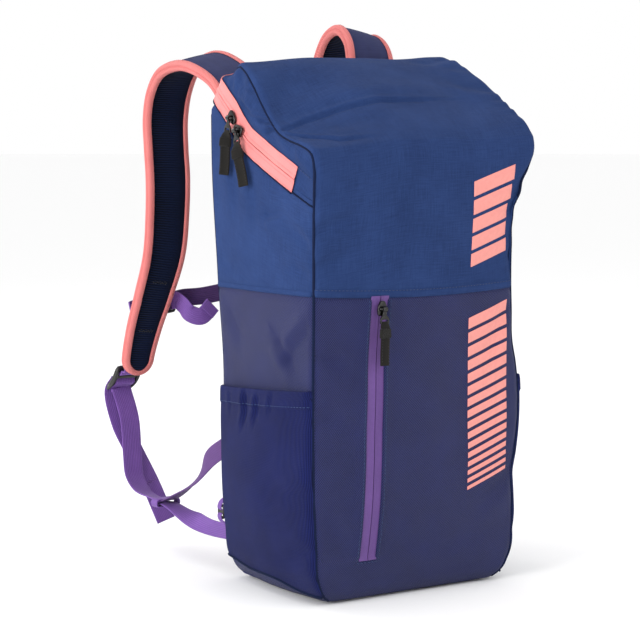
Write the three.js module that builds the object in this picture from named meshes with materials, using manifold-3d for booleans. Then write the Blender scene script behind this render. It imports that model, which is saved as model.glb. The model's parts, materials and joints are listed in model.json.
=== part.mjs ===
// A racket backpack: a soft rectangular bag whose top is a sloping lid, hinged on a fold at the front
// and closed by a two-way zipper that runs round the back, with two padded shoulder straps, webbing,
// buckles, side pockets and a zipped front pocket.
// Millimetres. +Z up, the front faces -Y, the wearer's back is at +Y. The origin is the middle of the base.
import * as THREE from "three";
import { mergeVertices } from "three/addons/utils/BufferGeometryUtils.js";
import Module from "manifold-3d";

const wasm = await Module();
wasm.setup();

// ---- Driving dimensions -----------------------------------------------------------------------
const CLOTH = 3; // a panel: outer cloth, foam and lining together
const GAP = 0.5; // between two pieces that are sewn edge to edge
const FRONT_Y = -92; // front face at the colour seam
const BACK_Y = 92; // back face
const SEAM_Z = 318; // seam between the coated lower cloth and the plain upper cloth
const FOLD_Y = -106; // fold at the front of the lid, which is the lid's hinge
const FOLD_Z = 460;
const BASE_TOP_Z = 26; // where the rounded edge of the base meets the walls
const POCKET_HEM_Z = 216; // open top of a side pocket
const ZIP_TAPE = 14; // width of one half of the main zipper's tape
const WEBBING = 25; // shoulder strap webbing
const CHEST_WEBBING = 20; // chest strap webbing
const STRAP_THICK = 8;
const BINDING_THICK = 1.6;

// ---- Materials --------------------------------------------------------------------------------
const finish = (color, roughness, metalness = 0) =>
  new THREE.MeshStandardMaterial({ color, roughness, metalness });
const UPPER_CLOTH = finish("#33477a", 0.8);
const LOWER_CLOTH = finish("#363a63", 0.55);
const POCKET_CLOTH = finish("#343c74", 0.7);
const PINK_TAPE = finish("#f59a9c", 0.8);
const PINK_BINDING = finish("#e98183", 0.8);
const PURPLE = finish("#8257a8", 0.75);
const MESH_CLOTH = finish("#14213f", 0.95);
const BLACK_PLASTIC = finish("#1b1b1c", 0.35);
const BLACK_METAL = finish("#121214", 0.3, 0.8);
const BLACK_WEBBING = finish("#242321", 0.9);
const LINING = finish("#4a4f66", 0.85);
const BOARD = finish("#2a2a2e", 0.6);

// ---- Small maths helpers ----------------------------------------------------------------------
const v3 = (x, y, z) => new THREE.Vector3(x, y, z);
const lerp = THREE.MathUtils.lerp;
const rad = THREE.MathUtils.degToRad;
const smooth = (t) => t * t * (3 - 2 * t);

// Straight-line interpolation through [key, value] pairs.
function table(pairs, key) {
  if (key <= pairs[0][0]) return pairs[0][1];
  for (let i = 1; i < pairs.length; i++) {
    const [k0, a] = pairs[i - 1];
    const [k1, b] = pairs[i];
    if (key <= k1) return lerp(a, b, (key - k0) / (k1 - k0));
  }
  return pairs[pairs.length - 1][1];
}

// ---- Geometry helpers -------------------------------------------------------------------------
// A closed geometry from rings of points: each ring joins the next, and the end rings are capped by fans.
function loft(rings) {
  const count = rings[0].length;
  const position = rings.flat().flatMap((p) => [p.x, p.y, p.z]);
  const index = [];
  for (let r = 0; r + 1 < rings.length; r++)
    for (let k = 0; k < count; k++) {
      const a = r * count + k;
      const b = r * count + ((k + 1) % count);
      index.push(a, b, b + count, a, b + count, a + count);
    }
  for (let k = 1; k + 1 < count; k++) {
    const last = (rings.length - 1) * count;
    index.push(0, k + 1, k, last, last + k, last + k + 1);
  }
  return facingOut(position, index);
}

// A closed sheet whose one face is point(u, v), u and v from 0 to 1, and whose other face lies
// thickness behind it. Behind is away from the cross product of the u and v directions; a negative
// thickness turns it to the other side.
function sheet(point, columns, rows, thickness) {
  const outer = [];
  const inner = [];
  const step = 1e-3;
  for (let j = 0; j <= rows; j++)
    for (let i = 0; i <= columns; i++) {
      const u = i / columns;
      const v = j / rows;
      const p = point(u, v);
      const alongU = point(Math.min(1, u + step), v).sub(point(Math.max(0, u - step), v));
      const alongV = point(u, Math.min(1, v + step)).sub(point(u, Math.max(0, v - step)));
      const normal = alongU.cross(alongV).normalize();
      outer.push(p);
      inner.push(p.clone().addScaledVector(normal, -thickness));
    }
  const position = [...outer, ...inner].flatMap((p) => [p.x, p.y, p.z]);
  const at = (i, j) => j * (columns + 1) + i;
  const under = outer.length;
  const index = [];
  for (let j = 0; j < rows; j++)
    for (let i = 0; i < columns; i++) {
      const [a, b, c, d] = [at(i, j), at(i + 1, j), at(i + 1, j + 1), at(i, j + 1)];
      index.push(a, b, c, a, c, d);
      index.push(under + a, under + c, under + b, under + a, under + d, under + c);
    }
  const rim = [];
  for (let i = 0; i < columns; i++) rim.push(at(i, 0));
  for (let j = 0; j < rows; j++) rim.push(at(columns, j));
  for (let i = columns; i > 0; i--) rim.push(at(i, rows));
  for (let j = rows; j > 0; j--) rim.push(at(0, j));
  rim.forEach((a, k) => {
    const b = rim[(k + 1) % rim.length];
    index.push(a, under + b, b, a, under + a, under + b);
  });
  return facingOut(position, index);
}

// An indexed geometry, with its faces turned round if they point inwards.
function facingOut(position, index) {
  let volume = 0;
  const p = (i) => v3(position[3 * i], position[3 * i + 1], position[3 * i + 2]);
  for (let i = 0; i < index.length; i += 3)
    volume += p(index[i]).dot(p(index[i + 1]).cross(p(index[i + 2])));
  if (volume < 0)
    for (let i = 0; i < index.length; i += 3)
      [index[i + 1], index[i + 2]] = [index[i + 2], index[i + 1]];
  return new THREE.BufferGeometry()
    .setAttribute("position", new THREE.Float32BufferAttribute(position, 3))
    .setIndex(index);
}

// A flat band through stations {centre, across, width}: across is a unit vector over the band's width.
function band(stations, thickness) {
  return loft(
    stations.map(({ centre, across, width }, i) => {
      const before = stations[Math.max(0, i - 1)].centre;
      const after = stations[Math.min(stations.length - 1, i + 1)].centre;
      const along = after.clone().sub(before).normalize();
      const side = across.clone().addScaledVector(along, -across.dot(along)).normalize();
      const up = along.clone().cross(side);
      const corner = (s, n) =>
        centre.clone().addScaledVector(side, (s * width) / 2).addScaledVector(up, (n * thickness) / 2);
      return [corner(-1, -1), corner(1, -1), corner(1, 1), corner(-1, 1)];
    }),
  );
}

// Points evenly spaced along a smooth curve through the given points.
function spaced(points, count) {
  return new THREE.CatmullRomCurve3(points, false, "centripetal").getSpacedPoints(count);
}

// A webbing band along a smooth curve. Its width keeps one direction from end to end, or turns to a second.
function webbing(points, width, thickness, count, across, acrossEnd = across) {
  return band(
    spaced(points, count).map((centre, i) => ({
      centre,
      width,
      across: across.clone().lerp(acrossEnd, smooth(i / count)).normalize(),
    })),
    thickness,
  );
}

// A round cord or tube along a smooth curve.
function tube(points, radius, sides, steps) {
  const section = new THREE.Shape(
    Array.from({ length: sides }, (_, k) => {
      const a = (2 * Math.PI * k) / sides;
      return new THREE.Vector2(radius * Math.cos(a), radius * Math.sin(a));
    }),
  );
  const extrudePath = new THREE.CatmullRomCurve3(points, false, "centripetal");
  return new THREE.ExtrudeGeometry(section, { steps, extrudePath });
}

function roundedRectangle(width, height, radius) {
  const [x, y] = [width / 2, height / 2];
  const shape = new THREE.Shape();
  shape.moveTo(-x + radius, -y);
  shape.lineTo(x - radius, -y);
  shape.absarc(x - radius, -y + radius, radius, -Math.PI / 2, 0);
  shape.lineTo(x, y - radius);
  shape.absarc(x - radius, y - radius, radius, 0, Math.PI / 2);
  shape.lineTo(-x + radius, y);
  shape.absarc(-x + radius, y - radius, radius, Math.PI / 2, Math.PI);
  shape.lineTo(-x, -y + radius);
  shape.absarc(-x + radius, -y + radius, radius, Math.PI, 1.5 * Math.PI);
  return shape;
}

// A plate in the XY plane, centred on z = 0, with rectangular slots {x, y, width, height}.
function plate(width, height, radius, thickness, slots = []) {
  const shape = roundedRectangle(width, height, radius);
  for (const s of slots) {
    const hole = roundedRectangle(s.width, s.height, Math.min(s.width, s.height) * 0.2);
    shape.holes.push(
      new THREE.Path(hole.getPoints(1).map((p) => new THREE.Vector2(p.x + s.x, p.y + s.y))),
    );
  }
  const options = { depth: thickness, bevelEnabled: false, curveSegments: 3 };
  const geometry = new THREE.ExtrudeGeometry(shape, options);
  return geometry.translate(0, 0, -thickness / 2);
}

function solid(geometry) {
  const bare = geometry.clone();
  bare.deleteAttribute("normal");
  bare.deleteAttribute("uv");
  const merged = mergeVertices(bare, 1e-4);
  return new wasm.Manifold(
    new wasm.Mesh({
      numProp: 3,
      vertProperties: merged.attributes.position.array,
      triVerts: new Uint32Array(merged.index.array),
    }),
  );
}

function geometryOf(manifold) {
  const mesh = manifold.getMesh();
  return new THREE.BufferGeometry()
    .setAttribute("position", new THREE.BufferAttribute(mesh.vertProperties, 3))
    .setIndex(new THREE.BufferAttribute(mesh.triVerts, 1));
}

const join = (...geometries) => geometryOf(geometries.map(solid).reduce((a, b) => a.add(b)));

// ---- The object -------------------------------------------------------------------------------
const backpack = new THREE.Group();
function add(name, geometry, material, parent = backpack) {
  const mesh = new THREE.Mesh(geometry, material);
  mesh.name = name;
  parent.add(mesh);
  return mesh;
}

// ---- Shape of the bag -------------------------------------------------------------------------
const FRONT_CROWN = 8; // how far the middle of the front stands out
const SIDE_CROWN = 3;
const EDGE = 5; // a front or side panel stops this far from the corner, where the piping runs
const WALL_FOOT_Z = 11;

// Half the bag's width at each height.
const halfWidth = (z) =>
  table([[0, 113], [8, 121], [BASE_TOP_Z, 127], [60, 130], [SEAM_Z, 134], [440, 141]], z);
// The front face at its side edges.
const frontEdgeY = (z) =>
  table(
    [[0, -78], [8, -84], [BASE_TOP_Z, -88], [60, -90], [SEAM_Z, FRONT_Y], [440, -104], [FOLD_Z, FOLD_Y]],
    z,
  );

// A point on the front, s from -1 at its left edge to 1 at its right edge.
function frontPoint(s, z) {
  const crown = FRONT_CROWN * smooth(Math.min(1, z / 120)) * table([[400, 1], [FOLD_Z, 0.1]], z);
  return v3(s * (halfWidth(z) - EDGE), frontEdgeY(z) - crown * (1 - s * s), z);
}

// A point on a side wall: hand is -1 on the left and 1 on the right.
function sidePoint(hand, y, z) {
  const t = THREE.MathUtils.clamp((y - frontEdgeY(z)) / (BACK_Y - frontEdgeY(z)), 0, 1);
  return v3(hand * (halfWidth(z) + SIDE_CROWN * Math.sin(Math.PI * t)), y, z);
}

// ---- Main zipper line -------------------------------------------------------------------------
// Its centre runs up the left side, across the back and down the right side.
const ZIP_SIDE = [
  [-142, -71, 434],
  [-143.5, -17, 459],
  [-143, 17, 476],
  [-141, 46, 502],
  [-136, 66, 521],
  [-126, 79, 529],
  [-110, 83.5, 531],
];
const zipSide = (hand) => ZIP_SIDE.map(([x, y, z]) => v3(-hand * x, y, z));
const ZIP_LINE = new THREE.CatmullRomCurve3(
  [...zipSide(-1).map((p) => v3(-Math.abs(p.x), p.y, p.z)), v3(0, 84, 532), ...zipSide(1).reverse()],
  false,
  "centripetal",
);

// A point beside the zipper line: up is along the cloth towards the lid, out is away from the bag.
function zipPoint(u, up, out = 0) {
  const p = ZIP_LINE.getPointAt(u);
  const onSide = smooth(THREE.MathUtils.clamp((Math.abs(p.x) - 110) / 30, 0, 1));
  const normal = v3(Math.sign(p.x) * onSide, 0.78 * (1 - onSide), 0.62 * (1 - onSide)).normalize();
  const across = ZIP_LINE.getTangentAt(u).cross(normal).normalize();
  return p.addScaledVector(across, up).addScaledVector(normal, out);
}

// The height at each y of a line beside the zipper, on the side of the bag, with more points before it.
function besideZip(up, before) {
  const samples = Array.from({ length: 13 }, (_, i) => zipPoint(i / 42, up));
  return [...before, ...samples.map((p) => [p.y, p.z])];
}
const SIDE_TOP = besideZip(-ZIP_TAPE - 3 * GAP, [[-99, 430], [-90, 430], [-78, 414]]);
const LID_SIDE_FOOT = besideZip(ZIP_TAPE + 3 * GAP, [[-103, 437]]);

// ---- Shell of the bag -------------------------------------------------------------------------
function basePanel() {
  const FLAT = 0.94; // share of the base that lies flat
  const RISE = 7;
  const steps = [[0, -1], [1 / 6, -0.97], [2 / 6, -FLAT], [4 / 6, FLAT], [5 / 6, 0.97], [1, 1]];
  const spread = (u) => table(steps, u);
  const point = (u, v) => {
    const s = spread(u);
    const t = spread(v);
    const out = Math.max(0, (Math.max(Math.abs(s), Math.abs(t)) - FLAT) / (1 - FLAT));
    return v3(s * (112 + 7 * out), t * -82, RISE * out * out);
  };
  add("base_panel", sheet(point, 6, 6, CLOTH), LOWER_CLOTH);
}

function frontPanel(name, low, high, rows, material) {
  const point = (u, v) => frontPoint(2 * u - 1, lerp(low, high, v));
  add(name, sheet(point, 8, rows, CLOTH), material);
}

function backPanel() {
  const point = (u, v) => {
    const z = table([[0, WALL_FOOT_Z], [0.1, 25], [0.2, 40], [1, 514]], v);
    return v3((1 - 2 * u) * (halfWidth(z) - EDGE), BACK_Y - 5 * smooth(Math.max(0, 1 - z / 40)), z);
  };
  add("back_panel", sheet(point, 6, 10, CLOTH), LOWER_CLOTH);
}

function sidePanel(name, hand, low, top, rows, material) {
  const point = (u, v) => {
    const high = top(lerp(frontEdgeY(440) + EDGE, 87.5, u));
    const z = lerp(low, high, v);
    return sidePoint(hand, lerp(frontEdgeY(z) + EDGE, 87.5, u), z);
  };
  add(name, sheet(point, 10, rows, hand * CLOTH), material);
}

function cornerPiping(name, hand) {
  const heights = [14, BASE_TOP_Z, 60, 140, 230, SEAM_Z, 380, 430, FOLD_Z - 6];
  const line = heights.map((z) => v3(hand * (halfWidth(z) - 2.1), frontEdgeY(z) + 2.1, z));
  add(name, tube(line, 2, 6, 14), UPPER_CLOTH);
}

// ---- Lid --------------------------------------------------------------------------------------
// Down the lid: y, height at its left edge, how much higher the rest of it is, and half its width.
// The left edge is pinched in, so that the top is fuller in the middle and on the right.
const LID = [
  { y: FOLD_Y + 2, z: 462, rise: 3, half: 140 },
  { y: -79, z: 474, rise: 20, half: 141 },
  { y: -41, z: 484, rise: 35, half: 140 },
  { y: -10, z: 511, rise: 26, half: 138 },
  { y: 24, z: 546, rise: 9, half: 136 },
  { y: 44, z: 555, rise: 6, half: 132 },
  { y: 60, z: 553, rise: 8, half: 128 },
  { y: 72, z: 543.5, rise: 1, half: 122 },
];
const lidAt = (y, key) => table(LID.map((row) => [row.y, row[key]]), y);

function lidTop(parent) {
  const point = (u, v) => {
    const y = table(LID.map((row, i) => [i / (LID.length - 1), row.y]), v);
    const s = 2 * u - 1;
    const full = smooth(Math.min(1, (s + 1) / 0.9));
    return v3(s * lidAt(y, "half"), y, lidAt(y, "z") + lidAt(y, "rise") * full);
  };
  add("lid_top_panel", sheet(point, 10, 14, CLOTH), UPPER_CLOTH, parent);
}

const zipXAt = (y) => table(ZIP_SIDE.map((row) => [row[1], row[0]]), y);

function lidSide(name, hand, parent) {
  const point = (u, v) => {
    const y = lerp(-99, 54, u);
    const low = table(LID_SIDE_FOOT, y);
    const high = lidAt(y, "z") + (hand > 0 ? lidAt(y, "rise") : 0) - 5.5;
    const half = lidAt(y, "half") - 0.5;
    return v3(hand * lerp(Math.max(half, Math.abs(zipXAt(y))), half, v), y, lerp(low, high, v));
  };
  add(name, sheet(point, 12, 1, 2 * hand), UPPER_CLOTH, parent);
}

// ---- Zippers ----------------------------------------------------------------------------------
const TAPE = 1.2;
const COIL_OUT = 2; // the coil's outer face, above the tape's
const COIL_WIDTH = 3;

// One half of a zipper, a flat tape with the coil standing on its inner edge: point(u, across, out).
function zipHalf(point, tapeWidth, sign, steps) {
  const section = [
    [GAP / 2, -TAPE],
    [tapeWidth, -TAPE],
    [tapeWidth, 0],
    [COIL_WIDTH, 0],
    [COIL_WIDTH, COIL_OUT],
    [GAP / 2, COIL_OUT],
  ];
  const rings = Array.from({ length: steps + 1 }, (_, i) =>
    section.map(([across, out]) => point(i / steps, sign * across, out)),
  );
  return loft(rings);
}

function mainZipper(lid) {
  add("main_zip_lower", zipHalf(zipPoint, ZIP_TAPE, -1, 24), PINK_TAPE);
  add("main_zip_upper", zipHalf(zipPoint, ZIP_TAPE, 1, 24), PINK_TAPE, lid);
}

// The front pocket's zipper is a straight one, let into the lower front.
const FRONT_ZIP_TOP = { x: -57, z: 311 };
const FRONT_ZIP_FOOT = { x: -67, z: 46 };
const FRONT_ZIP_HALF = 10;
const FRONT_ZIP_OUT = 1.8; // the tape's outer face, above the front panel's
function frontZipPoint(v, across, out) {
  const x = lerp(FRONT_ZIP_FOOT.x, FRONT_ZIP_TOP.x, v) + across;
  const z = lerp(FRONT_ZIP_FOOT.z, FRONT_ZIP_TOP.z, v);
  return frontPoint(x / (halfWidth(z) - EDGE), z).add(v3(0, -FRONT_ZIP_OUT - out, 0));
}
function frontPocket() {
  add("front_zip_left", zipHalf(frontZipPoint, FRONT_ZIP_HALF, -1, 12), PURPLE);
  add("front_zip_right", zipHalf(frontZipPoint, FRONT_ZIP_HALF, 1, 12), PURPLE);
  const lining = new THREE.BoxGeometry(230, 1.6, 268).translate(0, -76, 176);
  add("front_pocket_lining", lining, LINING);
}

// ---- Zipper sliders and pulls -----------------------------------------------------------------
// A slider in its own frame: its plate lies in XY with +Y towards the closed end of the zipper,
// and +Z is away from the bag. The pull's eye turns on a bar BAR_Z above the plate's foot.
const BAR_Z = 5.4;
const BAR_RADIUS = 0.9;
const SLIDER_PLATE = 2;
function sliderBody(turn) {
  const foot = plate(9, 12, 3, SLIDER_PLATE).translate(0, 0, SLIDER_PLATE / 2);
  const bar = new THREE.CylinderGeometry(BAR_RADIUS, BAR_RADIUS, 9.4, 10).rotateZ(Math.PI / 2);
  const posts = [-4.1, 4.1].map((x) =>
    new THREE.BoxGeometry(1.2, 1.8, BAR_Z).translate(x, 0, 0.9 - BAR_Z / 2),
  );
  const bail = [bar, ...posts].map((g) => g.translate(0, 0, BAR_Z).rotateZ(turn));
  return join(foot, ...bail);
}

// The metal link hangs from the bar along -Y of its own frame.
const LINK = 15;
function pullLink() {
  const outline = new THREE.Shape();
  outline.absarc(0, 0, 2.4, rad(-50), rad(230));
  outline.lineTo(-2, -6);
  outline.lineTo(-5, -8.5);
  outline.lineTo(-5, -LINK);
  outline.lineTo(5, -LINK);
  outline.lineTo(5, -8.5);
  outline.lineTo(2, -6);
  const slot = roundedRectangle(7.4, 2.4, 0.5).getPoints(2);
  outline.holes.push(new THREE.Path(slot.map((p) => new THREE.Vector2(p.x, p.y - LINK + 3))));
  const flat = new THREE.ExtrudeGeometry(outline, { depth: 1.8, bevelEnabled: false, curveSegments: 5 });
  const eye = new THREE.CylinderGeometry(2.4, 2.4, 5.6, 10).rotateZ(Math.PI / 2);
  const bore = new THREE.CylinderGeometry(1.4, 1.4, 12, 10).rotateZ(Math.PI / 2);
  return geometryOf(solid(flat.translate(0, 0, -0.9)).add(solid(eye)).subtract(solid(bore)));
}

// The webbing tab is sewn through the link's slot and hangs below it.
function slider(name, place, normal, travel, hang, tabLength) {
  const right = travel.clone().cross(normal);
  const group = new THREE.Group();
  group.applyMatrix4(new THREE.Matrix4().makeBasis(right, travel, normal).setPosition(place));
  backpack.add(group);
  const up = hang.clone().addScaledVector(normal, -hang.dot(normal)).normalize().negate();
  const turn = Math.atan2(-up.dot(right), up.dot(travel));
  add(`${name}_slider`, sliderBody(turn), BLACK_METAL, group);
  const pull = new THREE.Group();
  pull.position.set(0, 0, BAR_Z);
  pull.rotation.z = turn;
  group.add(pull);
  add(`${name}_pull_link`, pullLink(), BLACK_METAL, pull);
  const tab = new THREE.BoxGeometry(10, tabLength, 2.2).translate(0, -LINK - 0.4 - tabLength / 2, 0);
  add(`${name}_pull_tab`, tab, BLACK_WEBBING, pull);
}

const MAIN_SLIDER_REAR = 0.206; // places along the zipper line, as a share of its length
const MAIN_SLIDER_FRONT = 0.176;
const FRONT_SLIDER = 0.97; // its place up the front zipper, as a share of the height
const SLIDER_OUT = COIL_OUT + 0.4;
function sliders() {
  const onSide = (u, hang, name) => {
    const travel = ZIP_LINE.getTangentAt(u).setX(0).normalize();
    const place = zipPoint(u, 0, SLIDER_OUT + 0.6);
    slider(name, place, v3(-1, 0, 0), travel, hang, 44);
  };
  onSide(MAIN_SLIDER_REAR, v3(0, 0.15, -1), "main_zip_rear");
  onSide(MAIN_SLIDER_FRONT, v3(0, -0.3, -1), "main_zip_front");
  const v = FRONT_SLIDER;
  const travel = frontZipPoint(v, 0, 0).sub(frontZipPoint(0.9, 0, 0)).normalize();
  const normal = v3(0, -1, 0).addScaledVector(travel, travel.y).normalize();
  slider("front_zip", frontZipPoint(v, 0, SLIDER_OUT), normal, travel, v3(0, 0, -1), 42);
}

// ---- Side pockets -----------------------------------------------------------------------------
const POCKET_FOOT_Z = 30;
function sidePocket(name, hand) {
  // It stands off the wall most at its open top, and meets the wall at its foot and its two edges.
  const point = (u, v) => {
    const z = lerp(POCKET_FOOT_Z, POCKET_HEM_Z, v);
    const bulge = 10 * Math.sin(Math.PI * u) ** 0.6 * Math.sin((Math.PI / 2) * Math.min(1, v * 2.2));
    const p = sidePoint(hand, lerp(frontEdgeY(z) + EDGE, 86, u), z);
    return p.setX(p.x + hand * (2 + bulge));
  };
  add(name, sheet(point, 10, 6, hand * TAPE), POCKET_CLOTH);
}

// ---- Back -------------------------------------------------------------------------------------
const PAD_Y = BACK_Y + 0.5;
const PAD_THICK = 7;
function backPad(name, x, width, low, high) {
  // A flat cushion with its rim sloping in to the back panel.
  const ring = (inset, y) => {
    const turns = Array.from({ length: 16 }, (_, k) => (Math.PI / 2) * (Math.floor(k / 4) + (k % 4) / 3));
    return turns.map((a, k) => {
      const right = k < 4 || k > 11 ? 1 : -1;
      const above = k < 8 ? 1 : -1;
      const radius = 16 - inset;
      const cx = x + right * (width / 2 - 16);
      const cz = (low + high) / 2 + above * ((high - low) / 2 - 16);
      return v3(cx + radius * Math.cos(a), y, cz + radius * Math.sin(a));
    });
  };
  const rings = [ring(0, PAD_Y), ring(0, PAD_Y + 3), ring(6, PAD_Y + PAD_THICK)];
  add(name, loft(rings), MESH_CLOTH);
}

function haulLoop() {
  const half = [
    [32, PAD_Y + 3, 500],
    [32, PAD_Y + 4, 515],
    [26, PAD_Y + 13, 529],
  ];
  const line = [
    ...half.map(([x, y, z]) => v3(-x, y, z)),
    v3(0, PAD_Y + 19, 534),
    ...half.reverse().map(([x, y, z]) => v3(x, y, z)),
  ];
  add("haul_loop", tube(line, 3, 6, 16), BLACK_WEBBING);
}

function back() {
  backPad("back_pad_left", -61, 86, 120, 466);
  backPad("back_pad_right", 61, 86, 120, 466);
  backPad("lumbar_pad", 0, 200, 34, 112);
  const yoke = new THREE.BoxGeometry(232, 3, 12).translate(0, PAD_Y + 1.5, 478);
  add("strap_yoke", yoke, UPPER_CLOTH);
  haulLoop();
}

function insides() {
  const frame = new THREE.BoxGeometry(226, 2.4, 440).translate(0, BACK_Y - CLOTH - 1.8, 262);
  add("frame_sheet", frame, BOARD);
  add("base_board", new THREE.BoxGeometry(204, 146, 4).translate(0, -2, CLOTH + 2.5), BOARD);
  add("racket_divider", new THREE.BoxGeometry(232, 3, 390).translate(0, 44, 212), LINING);
}

// ---- Shoulder straps --------------------------------------------------------------------------
// Down each strap: centre x, y, z, its width, and how far its outer edge lies below its inner edge.
const LEFT_STRAP = [
  [-86, 103, 489, 60, 0],
  [-87, 105, 506, 60, 3],
  [-89, 124, 534, 60, 8],
  [-91, 160, 553, 60, 12],
  [-93, 197, 560, 59, 14],
  [-95, 233, 550, 58, 10],
  [-96, 253, 526, 57, 5],
  [-97, 260, 496, 56, 2],
  [-98, 257, 462, 55, 0],
  [-99, 252, 430, 55, 0],
  [-101, 250, 390, 54, 0],
  [-107, 248, 342, 52, 0],
  [-114, 261, 294, 48, 0],
  [-118, 275, 258, 44, 0],
  [-121, 284, 226, 40, 0],
  [-123, 287, 200, 37, 0],
];
const RIGHT_STRAP = [
  [80, 103, 489, 60, 0],
  [79, 103, 520, 62, 3],
  [78, 104, 552, 62, 8],
  [78, 112, 577, 61, 11],
  [78, 130, 590, 60, 12],
  [79, 153, 585, 59, 11],
  [81, 174, 565, 58, 8],
  [83, 189, 534, 57, 5],
  [86, 198, 496, 56, 2],
  [89, 202, 450, 55, 0],
  [92, 205, 402, 54, 0],
  [95, 209, 352, 52, 0],
  [99, 217, 306, 48, 0],
  [103, 229, 264, 44, 0],
  [106, 237, 232, 40, 0],
  [108, 240, 206, 37, 0],
];
const STRAP_STEPS = 26;
const TIP_LENGTH = 16; // the rounded end
const TIP_SHARE = 0.1; // the last steps are closer together, for the rounded end

// How far along the strap a step is, when even is its number as a share of all the steps.
function stepPlace(even) {
  const tipStart = 1 - TIP_SHARE / 2;
  if (even <= 1 - TIP_SHARE) return (even * tipStart) / (1 - TIP_SHARE);
  const late = (even - 1 + TIP_SHARE) / TIP_SHARE;
  return tipStart + (TIP_SHARE / 2) * Math.sin((late * Math.PI) / 2);
}

// Stations down a strap: centre, along, across (towards +X), normal (towards its outer face) and width.
function strapStations(rows, hand) {
  const curve = new THREE.CatmullRomCurve3(rows.map(([x, y, z]) => v3(x, y, z)), false, "centripetal");
  const length = curve.getLength();
  return Array.from({ length: STRAP_STEPS + 1 }, (_, i) => {
    const u = stepPlace(i / STRAP_STEPS);
    const t = curve.getUtoTmapping(u);
    const centre = curve.getPoint(t);
    const along = curve.getTangent(t);
    const row = (k) => table(rows.map((r, j) => [j / (rows.length - 1), r[k]]), t);
    const across = v3(1, 0, (-hand * row(4)) / row(3));
    across.addScaledVector(along, -across.dot(along)).normalize();
    const left = (1 - u) * length;
    const round = left < TIP_LENGTH ? Math.sqrt(1 - (1 - left / TIP_LENGTH) ** 2) : 1;
    const width = row(3) * Math.max(round, 0.45);
    return { centre, along, across, width, normal: across.clone().cross(along) };
  });
}

function shoulderStrap(side, stations, parent) {
  add(`shoulder_strap_${side}`, band(stations, STRAP_THICK), MESH_CLOTH, parent);
  // The binding tape runs down one edge, round the tip and up the other edge.
  const tape = (s, direction, out) => ({
    centre: s.centre.clone().addScaledVector(direction, out),
    across: s.normal,
    width: STRAP_THICK + 1,
  });
  const beside = BINDING_THICK / 2 + 0.4;
  const body = stations.slice(2, -1);
  const tip = stations[stations.length - 1];
  const corner = (k) => {
    const station = tape(tip, tip.along, beside);
    station.centre.addScaledVector(tip.across, k * (tip.width / 2 + 0.3));
    return station;
  };
  const line = [
    ...body.map((s) => tape(s, s.across, -s.width / 2 - beside)),
    corner(-1),
    corner(1),
    ...body.map((s) => tape(s, s.across, s.width / 2 + beside)).reverse(),
  ];
  add(`strap_binding_${side}`, band(line, BINDING_THICK), PINK_BINDING, parent);
}

// ---- Ladder locks and lower webbing -----------------------------------------------------------
// A ladder lock in its own frame: it lies in XY, with the bar that holds it to the strap at +Y.
const LOCK = { width: 33, length: 38, thick: 4 };
const WEBBING_THICK = 1.6;
function ladderLock() {
  const slots = [9.5, 0, -10.5].map((y) => ({ x: 0, y, width: 26, height: 5 }));
  return plate(LOCK.width, LOCK.length, 5, LOCK.thick, slots);
}

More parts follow.
